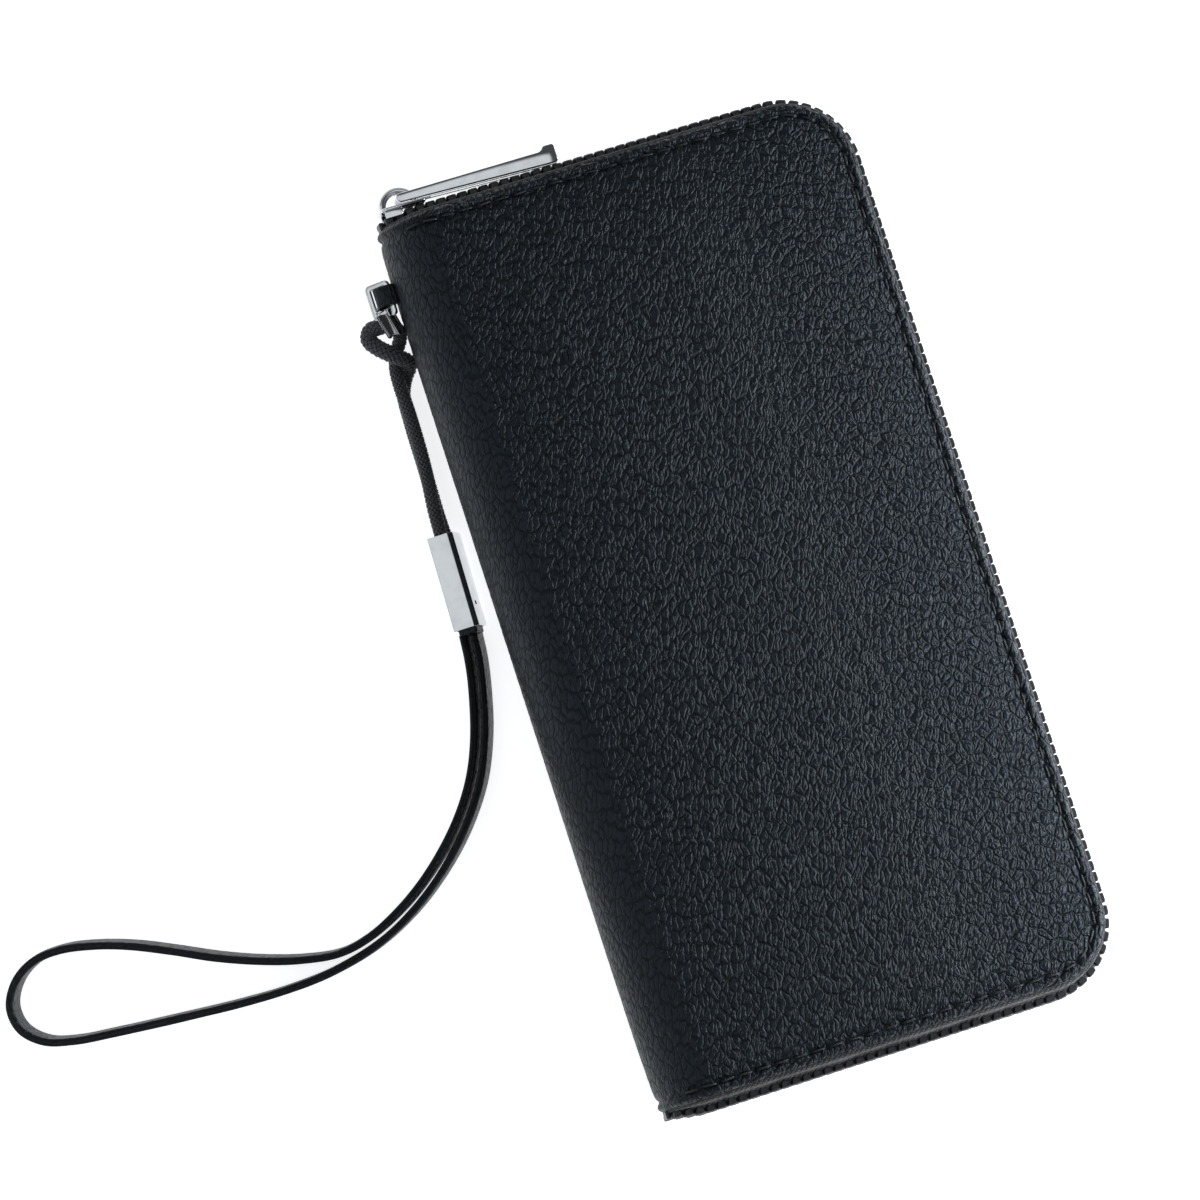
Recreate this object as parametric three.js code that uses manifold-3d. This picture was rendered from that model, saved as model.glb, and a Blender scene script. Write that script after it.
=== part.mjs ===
// Zip-around wristlet wallet, closed and lying on its back cover, in millimetres.
// +X runs from the spine to the free edge, +Y along the spine, +Z out of the front cover.
// The origin is on the back cover's outer face, at the middle of the wallet's footprint.
import * as THREE from "three";
import { mergeVertices } from "three/addons/utils/BufferGeometryUtils.js";
import Module from "manifold-3d";

const wasm = await Module();
wasm.setup();

// ---- Driving dimensions ----
const thickness = 25; // closed wallet, outer face to outer face
const halfHeight = 97; // half of the leather's length along the spine
const freeEdge = 48.5; // leather edge opposite the spine
const cornerRadius = 14; // the two corners on the free edge
const gap = 0.3; // room between neighbouring pieces

const midPlane = thickness / 2; // the zip and the centre pocket lie here
const spineRadius = thickness / 2;
const foldLine = -39; // where the rounded spine turns into the flat covers
const leatherThickness = 1.2;

const arcSteps = 6; // facets in a quarter turn

// ---- Materials ----
function material(color, roughness, metalness = 0) {
  return new THREE.MeshStandardMaterial({ color, roughness, metalness });
}

const leather = material(0x14171d, 0.55);
const strapLeather = material(0x101216, 0.45);
const board = material(0x8a7a63, 0.9);
const liningCloth = material(0x1a1b1f, 0.8);
const tapeCloth = material(0x0b0c0e, 0.85);
const toothPlastic = material(0x0d0e10, 0.45);
const cordBraid = material(0x0c0d10, 0.8);
const chrome = material(0xdfe3e8, 0.12, 1);

// ---- The finished part ----
const wallet = new THREE.Group();

function addPiece(name, geometry, pieceMaterial) {
  const mesh = new THREE.Mesh(geometry, pieceMaterial);
  mesh.name = name;
  wallet.add(mesh);
  return mesh;
}

// ---- Solids ----
// Extrudes an outline drawn in X and Y between two heights.
function slab(outline, low, high) {
  const geometry = new THREE.ExtrudeGeometry(outline, {
    depth: high - low,
    bevelEnabled: false,
    curveSegments: arcSteps,
  });
  return geometry.translate(0, 0, low);
}

// Extrudes an outline drawn in X and Z along Y, from low to high.
function prismAlongY(outline, low, high) {
  return slab(outline, -high, -low).rotateX(Math.PI / 2);
}

function box(x0, x1, y0, y1, z0, z1) {
  const geometry = new THREE.BoxGeometry(x1 - x0, y1 - y0, z1 - z0);
  return geometry.translate((x0 + x1) / 2, (y0 + y1) / 2, (z0 + z1) / 2);
}

function toManifold(geometry) {
  const bare = geometry.index ? geometry.toNonIndexed() : geometry.clone();
  bare.deleteAttribute("normal");
  bare.deleteAttribute("uv");
  const merged = mergeVertices(bare, 1e-4);
  const mesh = new wasm.Mesh({
    numProp: 3,
    vertProperties: new Float32Array(merged.attributes.position.array),
    triVerts: new Uint32Array(merged.index.array),
  });
  return new wasm.Manifold(mesh);
}

function toGeometry(solid) {
  const mesh = solid.getMesh();
  const geometry = new THREE.BufferGeometry();
  geometry.setAttribute("position", new THREE.BufferAttribute(mesh.vertProperties, 3));
  geometry.setIndex(new THREE.BufferAttribute(mesh.triVerts, 1));
  geometry.computeVertexNormals();
  return geometry;
}

function join(...geometries) {
  const solids = geometries.map(toManifold);
  return toGeometry(solids.reduce((whole, piece) => whole.add(piece)));
}

function cut(geometry, ...tools) {
  const solid = tools.map(toManifold).reduce((whole, tool) => whole.subtract(tool), toManifold(geometry));
  return toGeometry(solid);
}

function rectangle(x0, x1, y0, y1) {
  const outline = new THREE.Shape();
  outline.moveTo(x0, y0);
  outline.lineTo(x1, y0);
  outline.lineTo(x1, y1);
  outline.lineTo(x0, y1);
  outline.closePath();
  return outline;
}

function roundedRectangle(halfWidth, halfLength, radius, Kind = THREE.Shape) {
  const outline = new Kind();
  const x = halfWidth - radius;
  const y = halfLength - radius;
  outline.absarc(x, y, radius, 0, Math.PI / 2, false);
  outline.absarc(-x, y, radius, Math.PI / 2, Math.PI, false);
  outline.absarc(-x, -y, radius, Math.PI, Math.PI * 1.5, false);
  outline.absarc(x, -y, radius, Math.PI * 1.5, Math.PI * 2, false);
  outline.closePath();
  return outline;
}

// ---- Covers: leather, board, lining and card pockets, the same on both sides ----
const boardThickness = 0.8;
const liningThickness = 0.4;
const panelThickness = 0.5;
const pocketThickness = 0.4;
const pocketEdges = [32, 22, 12]; // where each card pocket leaf ends, towards the free edge
const pocketFoot = -32;

// The cover's outline, drawn in from the leather's edge by an inset.
function coverOutline(inset, start) {
  const outline = new THREE.Shape();
  const radius = cornerRadius - inset;
  const x = freeEdge - cornerRadius;
  const y = halfHeight - cornerRadius;
  outline.moveTo(start, -halfHeight + inset);
  outline.lineTo(x, -halfHeight + inset);
  outline.absarc(x, -y, radius, -Math.PI / 2, 0, false);
  outline.absarc(x, y, radius, 0, Math.PI / 2, false);
  outline.lineTo(start, halfHeight - inset);
  outline.closePath();
  return outline;
}

// The layers of one cover, listed from its outer face inwards.
function coverLayers(side) {
  const layers = [
    { name: "cover_leather", depth: leatherThickness, outline: coverOutline(0, foldLine + 0.1), look: leather },
    { name: "cover_board", depth: boardThickness, outline: coverOutline(4, foldLine + 1), look: board },
    { name: "cover_lining", depth: liningThickness, outline: coverOutline(2.5, foldLine + 1), look: liningCloth },
    { name: "card_panel", depth: panelThickness, outline: rectangle(-34, 42, -88, 88), look: leather },
  ];
  pocketEdges.forEach((edge, index) => {
    const outline = rectangle(pocketFoot, edge, -86, 86);
    layers.push({ name: `card_pocket_${index + 1}`, depth: pocketThickness, outline, look: leather });
  });
  let outer = 0;
  for (const layer of layers) {
    const inner = outer + layer.depth;
    const [low, high] = side === "back" ? [outer, inner] : [thickness - inner, thickness - outer];
    addPiece(`${side}_${layer.name}`, slab(layer.outline, low, high), layer.look);
    outer = inner + gap;
  }
}

// ---- Spine: the leather and its lining turn through a half circle ----
function halfRing(outerRadius, innerRadius) {
  const outline = new THREE.Shape();
  const x = foldLine - gap;
  outline.absarc(x, midPlane, outerRadius, Math.PI / 2, Math.PI * 1.5, false);
  outline.absarc(x, midPlane, innerRadius, Math.PI * 1.5, Math.PI / 2, true);
  outline.closePath();
  return outline;
}

function spine() {
  const leatherRing = halfRing(spineRadius, spineRadius - leatherThickness);
  const liningOuter = spineRadius - leatherThickness - gap;
  const liningRing = halfRing(liningOuter, liningOuter - liningThickness);
  addPiece("spine_leather", prismAlongY(leatherRing, -halfHeight, halfHeight), leather);
  addPiece("spine_lining", prismAlongY(liningRing, -halfHeight + 2.5, halfHeight - 2.5), liningCloth);
}

// ---- Main zip: two tapes and two rows of teeth round three edges ----
// Offsets are measured outwards from the leather's edge.
const tapeOffset = [0.2, 0.8];
const teethOffset = [1.1, 3.1];
const teethReach = 3; // from the mid plane to the outer side of a row of teeth
const teethSlot = 0.55; // from the mid plane to the inner side of a row of teeth
const frontZipStart = foldLine + 0.5; // front pieces clear the fold as the cover opens
const zipEnd = -50.2; // the teeth stop here, on the spine's end

// A band that follows the top, free and bottom edges between two offsets.
function edgeBand(inner, outer, start) {
  const outline = new THREE.Shape();
  const x = freeEdge - cornerRadius;
  const y = halfHeight - cornerRadius;
  outline.moveTo(start, -halfHeight - outer);
  outline.lineTo(x, -halfHeight - outer);
  outline.absarc(x, -y, cornerRadius + outer, -Math.PI / 2, 0, false);
  outline.absarc(x, y, cornerRadius + outer, 0, Math.PI / 2, false);
  outline.lineTo(start, halfHeight + outer);
  outline.lineTo(start, halfHeight + inner);
  outline.absarc(x, y, cornerRadius + inner, Math.PI / 2, 0, true);
  outline.absarc(x, -y, cornerRadius + inner, 0, -Math.PI / 2, true);
  outline.lineTo(start, -halfHeight - inner);
  outline.closePath();
  return outline;
}

// The tape that closes one end of the spine, with a slot for the slider's post.
function spineEndTape(low, high) {
  const radius = spineRadius - leatherThickness - gap;
  const outline = new THREE.Shape();
  const x = foldLine - gap;
  const slotFoot = x - radius + 1.2;
  outline.absarc(x, midPlane, radius, Math.PI / 2, Math.PI * 1.5, false);
  outline.lineTo(x, midPlane - teethSlot);
  outline.lineTo(slotFoot, midPlane - teethSlot);
  outline.lineTo(slotFoot, midPlane + teethSlot);
  outline.lineTo(x, midPlane + teethSlot);
  outline.closePath();
  return prismAlongY(outline, low, high);
}

function mainZip() {
  const tapeLow = leatherThickness + gap;
  const backTape = edgeBand(...tapeOffset, foldLine);
  const frontTape = edgeBand(...tapeOffset, frontZipStart);
  addPiece("back_zip_tape", slab(backTape, tapeLow, midPlane - teethSlot), tapeCloth);
  addPiece("front_zip_tape", slab(frontTape, midPlane + teethSlot, thickness - tapeLow), tapeCloth);

  const backTeeth = edgeBand(...teethOffset, zipEnd);
  const frontTeeth = edgeBand(...teethOffset, frontZipStart);
  addPiece("back_zip_teeth", slab(backTeeth, midPlane - teethReach, midPlane - teethSlot), toothPlastic);
  addPiece("front_zip_teeth", slab(frontTeeth, midPlane + teethSlot, midPlane + teethReach), toothPlastic);

  for (const [end, sign] of [["top", 1], ["bottom", -1]]) {
    const [tapeNear, tapeFar] = tapeOffset.map((offset) => sign * (halfHeight + offset)).sort((a, b) => a - b);
    const [near, far] = teethOffset.map((offset) => sign * (halfHeight + offset)).sort((a, b) => a - b);
    const low = midPlane + teethSlot;
    const high = midPlane + teethReach;
    const stopReach = teethReach - 0.6;
    addPiece(`spine_zip_tape_${end}`, spineEndTape(tapeNear, tapeFar), tapeCloth);
    addPiece(`spine_zip_teeth_${end}`, box(zipEnd, foldLine, near, far, low, high), toothPlastic);
    const stop = box(zipEnd - 1.1, zipEnd - gap, near, far, midPlane - stopReach, midPlane + stopReach);
    addPiece(`zip_stop_${end}`, stop, chrome);
  }
}

// ---- Zip sliders ----
// A slider plate seen from outside: blunt at the nose, tapering to the tail.
function sliderPlan(nose, shoulder, tail, halfWidth) {
  const chamfer = 0.8;
  const plan = new THREE.Shape();
  plan.moveTo(nose, -halfWidth + chamfer);
  plan.lineTo(nose + chamfer, -halfWidth);
  plan.lineTo(shoulder, -halfWidth);
  plan.lineTo(tail, -halfWidth * 0.82);
  plan.lineTo(tail, halfWidth * 0.82);
  plan.lineTo(shoulder, halfWidth);
  plan.lineTo(nose + chamfer, halfWidth);
  plan.lineTo(nose, halfWidth - chamfer);
  plan.closePath();
  return plan;
}

// Drawn with travel along X, outwards along Y and width along Z, from the crown's centre.
function zipSlider(size) {
  const { nose, tail, halfWidth, innerPlate, outerPlate, flange, post, crown } = size;
  const [innerLow, innerHigh] = innerPlate;
  const [outerLow, outerHigh] = outerPlate;

  const shoulder = nose + (tail - nose) * 0.45;
  const outer = prismAlongY(sliderPlan(nose, shoulder, tail, halfWidth), outerLow, outerHigh);
  const inner = prismAlongY(sliderPlan(nose + 1.2, shoulder, tail, halfWidth - 0.8), innerLow, innerHigh);

  const bite = 0.2; // how far joined pieces run into each other
  const splitter = box(post.start, post.end, innerHigh - bite, outerLow + bite, -post.halfWidth, post.halfWidth);
  const flanges = [-1, 1].map((sign) => {
    const [low, high] = [sign * halfWidth, sign * (halfWidth - flange.width)].sort((a, b) => a - b);
    return box(nose + 0.8, shoulder, flange.low, outerLow + bite, low, high);
  });

  const arch = new THREE.Shape();
  const foot = outerHigh - bite;
  arch.moveTo(crown.radius, foot);
  arch.lineTo(crown.radius, crown.centre);
  arch.absarc(0, crown.centre, crown.radius, 0, Math.PI, false);
  arch.lineTo(-crown.radius, foot);
  arch.lineTo(-crown.radius + crown.wire, foot);
  arch.lineTo(-crown.radius + crown.wire, crown.centre);
  arch.absarc(0, crown.centre, crown.radius - crown.wire, Math.PI, 0, true);
  arch.lineTo(crown.radius - crown.wire, foot);
  arch.closePath();
  const loop = slab(arch, -crown.halfWidth, crown.halfWidth);
  return join(outer, inner, splitter, ...flanges, loop);
}

const mainCrownX = -45.6;
const mainSlider = {
  nose: -4.6,
  tail: 5.6,
  halfWidth: 4.4,
  innerPlate: [-0.9, -0.1],
  outerPlate: [3.4, 4.2],
  flange: { width: 0.9, low: 1.1 },
  post: { start: -2.9, end: -1.5, halfWidth: 0.25 },
  crown: { radius: 4.4, wire: 1.2, centre: 4.1, halfWidth: 1.1 },
};

function mainZipSlider() {
  addPiece("zip_slider", zipSlider(mainSlider).translate(mainCrownX, halfHeight, midPlane), chrome);
}

// ---- Main zip puller: a tapered bar with a raised end, hooked through the crown ----
const pullerPivot = new THREE.Vector2(-45, 102.6);
const pullerHalfWidth = 3.2;
const pullerLength = 34.5;

function mainZipPuller() {
  const eyeRadius = 0.95;
  const sole = -2.1; // underside at the far end, just clear of the teeth
  const back = 0.9; // upper side at the far end
  const lipTop = 1.9;
  const lipStart = pullerLength - 2.5;
  const profile = new THREE.Shape();
  profile.moveTo(0, -eyeRadius);
  profile.lineTo(lipStart, sole);
  profile.lineTo(pullerLength, sole);
  profile.lineTo(pullerLength, lipTop);
  profile.lineTo(lipStart, lipTop);
  profile.lineTo(lipStart - 0.6, back);
  profile.lineTo(0, eyeRadius);
  profile.absarc(0, 0, eyeRadius, Math.PI / 2, Math.PI * 1.5, false);
  profile.closePath();
  const bar = slab(profile, -pullerHalfWidth, pullerHalfWidth);

  const windowHalfWidth = mainSlider.crown.halfWidth + gap;
  const eyeWindow = box(0.8, 7, -2, 2, -windowHalfWidth, windowHalfWidth);
  const puller = cut(bar, eyeWindow);
  addPiece("zip_puller", puller.translate(pullerPivot.x, pullerPivot.y, midPlane), chrome);
}

// ---- Centre pocket: a leaf between the covers, with its own short zip ----
const pocketHalfLength = 86;
const pocketStart = -35;
const pocketEnd = 41;
const pocketWall = 0.5;
const pocketLow = 11; // outer face of the wall on the back cover's side
const pocketHigh = 14; // outer face of the wall on the front cover's side
const coinZipX = 33; // the coin zip runs along Y on this line
const coinTapeWidth = 2.2;
const coinSlot = 0.45;
const coinZipHalfLength = 80;

// The seam that closes the pocket's rim between its two walls.
function pocketRim() {
  const seam = 2.5;
  const outline = rectangle(pocketStart, pocketEnd, -pocketHalfLength, pocketHalfLength);
  const hole = new THREE.Path();
  hole.moveTo(pocketStart + seam, -pocketHalfLength + seam);
  hole.lineTo(pocketStart + seam, pocketHalfLength - seam);
  hole.lineTo(pocketEnd - seam, pocketHalfLength - seam);
  hole.lineTo(pocketEnd - seam, -pocketHalfLength + seam);
  hole.closePath();
  outline.holes.push(hole);
  return slab(outline, pocketLow + pocketWall + gap, pocketHigh - pocketWall - gap);
}

function centrePocket() {
  const backWall = rectangle(pocketStart, pocketEnd, -pocketHalfLength, pocketHalfLength);
  addPiece("coin_pocket_back_wall", slab(backWall, pocketLow, pocketLow + pocketWall), leather);
  addPiece("coin_pocket_rim", pocketRim(), liningCloth);

  const reach = coinSlot + coinTapeWidth + gap;
  const frontWall = rectangle(pocketStart, coinZipX - reach, -pocketHalfLength, pocketHalfLength);
  const frontStrip = rectangle(coinZipX + reach, pocketEnd, -pocketHalfLength, pocketHalfLength);
  addPiece("coin_pocket_front_wall", slab(frontWall, pocketHigh - pocketWall, pocketHigh), leather);
  addPiece("coin_pocket_edge_strip", slab(frontStrip, pocketHigh - pocketWall, pocketHigh), leather);
}

const coinTapeHeights = [pocketHigh - pocketWall, pocketHigh - 0.1];
const coinTeethHeights = [pocketHigh + 0.2, pocketHigh + 1.4];

function coinZip() {
  for (const [side, sign] of [["inner", -1], ["outer", 1]]) {
    const spans = [coinTapeWidth, 1.15].map((width) =>
      [sign * coinSlot, sign * (coinSlot + width)].sort((a, b) => a - b)
    );
    const [tape, teeth] = spans.map(([low, high]) =>
      rectangle(coinZipX + low, coinZipX + high, -coinZipHalfLength, coinZipHalfLength)
    );
    addPiece(`coin_zip_tape_${side}`, slab(tape, ...coinTapeHeights), tapeCloth);
    addPiece(`coin_zip_teeth_${side}`, slab(teeth, ...coinTeethHeights), toothPlastic);
  }
}

const coinSliderY = 74; // parked near the top end, zip closed

// The coin slider's pull tab lies flat along the zip, hooked over the crown.
function coinPullTab() {
  const outline = new THREE.Shape();
  outline.moveTo(-0.4, -2);
  outline.lineTo(13, -2);
  outline.absarc(13, 0, 2, -Math.PI / 2, Math.PI / 2, false);
  outline.lineTo(-0.4, 2);
  outline.closePath();
  const eye = new THREE.Path();
  eye.moveTo(0.5, -0.9);
  eye.lineTo(0.5, 0.9);
  eye.lineTo(3.2, 0.9);
  eye.lineTo(3.2, -0.9);
  eye.closePath();
  outline.holes.push(eye);
  return slab(outline, 0, 0.8).rotateZ(-Math.PI / 2);
}

function coinZipSlider() {
  const slider = zipSlider({
    nose: -3.2,
    tail: 3.6,
    halfWidth: 2.3,
    innerPlate: [-0.9, -0.3],
    outerPlate: [2.2, 2.8],
    flange: { width: 0.5, low: 0.8 },
    post: { start: -2.2, end: -1.2, halfWidth: 0.18 },
    crown: { radius: 2.2, wire: 0.8, centre: 2.6, halfWidth: 0.6 },
  });
  // Travel turns from +X to -Y and outwards from +Y to +Z.
  const turn = new THREE.Matrix4().makeBasis(
    new THREE.Vector3(0, -1, 0),
    new THREE.Vector3(0, 0, 1),
    new THREE.Vector3(-1, 0, 0)
  );
  const base = pocketHigh - pocketWall;
  addPiece("coin_zip_slider", slider.applyMatrix4(turn).translate(coinZipX, coinSliderY, base), chrome);
  const tabHeight = base + 2.8 + gap;
  addPiece("coin_zip_pull_tab", coinPullTab().translate(coinZipX, coinSliderY + 0.2, tabHeight), chrome);
}

// ---- Ring and link on the spine, which carry the wrist strap ----
const ringPivot = new THREE.Vector3(-53.2, 83.3, midPlane);
const ringWire = 1.2;
const ringHalfHeight = 3.3; // between centre lines, along Y
const ringReach = 4.4; // between centre lines, away from the spine
const ringDroop = THREE.MathUtils.degToRad(30);

const linkLength = 6.8;
const linkWall = 0.9;
const linkHalfDepth = 1.9;
const linkWidth = 2.8;
const linkDroop = THREE.MathUtils.degToRad(32);
const linkHook = 2.05; // from the link's upper end to the bar that it hangs on

// A folded leather tab sewn to the spine, with a hole along Y for the ring's bar.
function strapTab() {
  const outer = 1.9;
  const seat = -spineRadius + foldLine - gap - gap; // just outside the spine leather
  const outline = new THREE.Shape();
  outline.moveTo(seat, midPlane - outer);
  outline.lineTo(seat, midPlane + outer);
  outline.absarc(ringPivot.x, midPlane, outer, Math.PI / 2, Math.PI * 1.5, false);
  outline.closePath();
  const hole = new THREE.Path();
  hole.absarc(ringPivot.x, midPlane, 0.95, 0, Math.PI * 2, true);
  outline.holes.push(hole);
  addPiece("strap_tab", prismAlongY(outline, 83, 85.8), strapLeather);
}

function strapRing() {
  const half = ringWire / 2;
  const outline = roundedRectangle(ringReach / 2 + half, ringHalfHeight + half, 0.9);
  outline.holes.push(roundedRectangle(ringReach / 2 - half, ringHalfHeight - half, 0.3, THREE.Path));
  const ring = slab(outline, -half, half).translate(-ringReach / 2, 0, 0);
  ring.rotateY(-ringDroop);
  addPiece("strap_ring", ring.translate(ringPivot.x, ringPivot.y, ringPivot.z), chrome);
}

// A polished band bent into a flat loop, hung on the ring's lower bar.
function strapLink() {
  const halfLength = linkLength / 2;
  const outline = roundedRectangle(halfLength, linkHalfDepth, 0.8);
  outline.holes.push(roundedRectangle(halfLength - linkWall, linkHalfDepth - linkWall, 0.3, THREE.Path));
  const link = slab(outline, -linkWidth / 2, linkWidth / 2).translate(halfLength - linkHook, 0, 0);
  const bar = new THREE.Vector3(-Math.cos(ringDroop), 0, -Math.sin(ringDroop));
  const sideways = new THREE.Vector3(0, -1, 0);
  const upwards = new THREE.Vector3().crossVectors(bar, sideways);
  const along = sideways.multiplyScalar(Math.cos(linkDroop)).addScaledVector(upwards, -Math.sin(linkDroop));
  const across = new THREE.Vector3().crossVectors(bar, along);
  link.applyMatrix4(new THREE.Matrix4().makeBasis(along, across, bar));
  const hook = bar.clone().multiplyScalar(ringReach / 2).add(ringPivot);
  addPiece("strap_link", link.translate(hook.x, hook.y - ringHalfHeight, hook.z), chrome);
}

// ---- Wrist strap: knot and cord, clamp, and a leather strip folded into a loop ----
const cordRadius = 1.5;
const knotCentre = new THREE.Vector3(-56, 71.2, 4.6);
const knotHalfSize = new THREE.Vector3(5, 4.3, 4.1);

// The cord's two legs lie one above the other, and draw together into the clamp.
const lowerLegRoute = [
  [-56.0, 66.3, 1.8],
  [-55.8, 58, 1.7],
  [-56.0, 47, 1.7],
  [-56.3, 38, 2.3],
  [-56.35, 33, 2.85],
  [-56.5, 28, 2.93],
];
const upperLegRoute = [
  [-56.0, 66.3, 5.2],
  [-55.9, 58, 5.0],
  [-56.3, 47, 5.0],
  [-57.2, 38, 5.4],
  [-57.5, 33, 5.8],
  [-57.7, 28, 5.87],
];

function cordLeg(route) {
  const section = new THREE.Shape();
  section.absarc(0, 0, cordRadius, 0, Math.PI * 2, false);
  return new THREE.ExtrudeGeometry(section, {
    steps: 8,
    curveSegments: 8,
    extrudePath: new THREE.CatmullRomCurve3(route.map((point) => new THREE.Vector3(...point))),
  });
}

function strapCord() {
  const knot = new THREE.SphereGeometry(1, 12, 8).scale(knotHalfSize.x, knotHalfSize.y, knotHalfSize.z);
  addPiece("cord_knot", knot.translate(knotCentre.x, knotCentre.y, knotCentre.z), cordBraid);
  addPiece("cord_leg_lower", cordLeg(lowerLegRoute), cordBraid);
  addPiece("cord_leg_upper", cordLeg(upperLegRoute), cordBraid);
}

const clampCentre = new THREE.Vector3(-57.2, 22.4, 4.4);
const clampLength = 20.5;
const clampHalfWidth = 2.8;
const clampHalfDepth = 3.6;
const clampWall = 0.45;
const clampRoll = THREE.MathUtils.degToRad(-22);
const clampYaw = THREE.MathUtils.degToRad(-1.5);

// Turns a piece drawn about the clamp's middle, with its length along Y, into place.
function placeInClamp(geometry) {
  geometry.rotateY(clampRoll).rotateZ(clampYaw);
  return geometry.translate(clampCentre.x, clampCentre.y, clampCentre.z);
}

// A rectangular chrome ferrule, the strip's two ends glued up inside it, and the pin that holds them.
function strapClamp() {
  const insideWidth = clampHalfWidth - clampWall;
  const insideDepth = clampHalfDepth - clampWall;
  const outline = roundedRectangle(clampHalfWidth, clampHalfDepth, 0.5);
  outline.holes.push(roundedRectangle(insideWidth, insideDepth, 0.2, THREE.Path));
  const sleeve = prismAlongY(outline, -clampLength / 2, clampLength / 2);
  const pinRadius = 0.6;
  const pinY = -clampLength / 2 + 5;
  const pin = (radius, start, end) => {
    const disc = new THREE.CylinderGeometry(radius, radius, end - start, 12);
    return disc.rotateZ(Math.PI / 2).translate((start + end) / 2, pinY, 0);
  };
  const pinHole = pin(pinRadius + 0.1, insideWidth - 0.2, clampHalfWidth + 0.2);
  addPiece("strap_clamp", placeInClamp(cut(sleeve, pinHole)), chrome);
  addPiece("clamp_pin", placeInClamp(pin(pinRadius, insideWidth, clampHalfWidth + 0.1)), chrome);

  const ends = roundedRectangle(insideWidth - gap, insideDepth - gap, 0.2);
  const endsFoot = -clampLength / 2 + 0.4;
  addPiece("strap_glued_ends", placeInClamp(prismAlongY(ends, endsFoot, 5)), strapLeather);
}

// Where the strip's two legs run side by side: the line between them, from the clamp down.
const pairedRun = [
  [-57.5, 11.4],
  [-58.0, 6],
  [-59.1, 0],
  [-61.9, -10],
  [-65.9, -18.8],
  [-71.8, -26.9],
  [-79.4, -34.3],
  [-87.8, -40.2],
  [-96.6, -44.3],
];
// Where the legs part: round the loop, out along its upper run and back along its lower run.
const loopRun = [
  [-104, -44.6],
  [-112, -43.5],
  [-120.5, -41],
  [-129, -37.6],
  [-137, -33.7],
  [-145, -30.1],
  [-152, -27.8],
  [-159, -26.5],
  [-165, -27],
  [-169.8, -29.9],
  [-172.6, -34.8],
  [-171.9, -39.8],
  [-168, -43.6],
  [-162, -45.4],
  [-154, -46.3],
  [-145, -47.1],
  [-136, -47.8],
  [-127, -48.4],
  [-117, -48.6],
  [-107, -47.9],
];
const stripHeight = 5.6; // the strip is 6 wide along its lean
const stripHalfThickness = 0.9;
const legSpacing = 1.15; // from the line between the legs to each leg's middle
const stripLean = [-0.38, -0.12]; // how far the upper edge leans in X and Y, for each unit of height

// The strip's middle line: one leg, the loop, and the other leg back to the clamp.
function stripRoute() {
  const middle = pairedRun.map(([x, y]) => new THREE.Vector2(x, y));
  const leg = (sign) =>
    middle.map((point, index) => {
      const before = middle[Math.max(index - 1, 0)];
      const after = middle[Math.min(index + 1, middle.length - 1)];
      const direction = after.clone().sub(before).normalize();
      const sideways = new THREE.Vector2(direction.y, -direction.x);
      return point.clone().addScaledVector(sideways, sign * legSpacing);
    });
  const loop = loopRun.map(([x, y]) => new THREE.Vector2(x, y));
  return [...leg(1), ...loop, ...leg(-1).reverse()];
}

function wristStrip() {
  const steps = 96;
  const curve = new THREE.CatmullRomCurve3(stripRoute().map((point) => new THREE.Vector3(point.x, point.y, 0)));
  const left = [];
  const right = [];
  for (let step = 0; step <= steps; step += 1) {
    const point = curve.getPointAt(step / steps);
    const tangent = curve.getTangentAt(step / steps);
    const sideways = new THREE.Vector2(-tangent.y, tangent.x).multiplyScalar(stripHalfThickness);
    left.push(new THREE.Vector2(point.x + sideways.x, point.y + sideways.y));
    right.push(new THREE.Vector2(point.x - sideways.x, point.y - sideways.y));
  }
  const outline = new THREE.Shape([...left, ...right.reverse()]);
  const strip = slab(outline, -stripHeight / 2, stripHeight / 2);
  const [leanX, leanY] = stripLean;
  strip.applyMatrix4(new THREE.Matrix4().set(1, 0, leanX, 0, 0, 1, leanY, 0, 0, 0, 1, 0, 0, 0, 0, 1));
  addPiece("strap_strip", strip.translate(0, 0, stripHeight / 2), strapLeather);
}

// ---- Assembly ----
coverLayers("back");
coverLayers("front");
spine();
mainZip();
mainZipSlider();
mainZipPuller();
centrePocket();
coinZip();
coinZipSlider();
strapTab();
strapRing();
strapLink();
strapCord();
strapClamp();
wristStrip();

export default wallet;
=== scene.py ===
import math

import bmesh
import bpy
import numpy as np
from mathutils import Matrix, Vector


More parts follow.
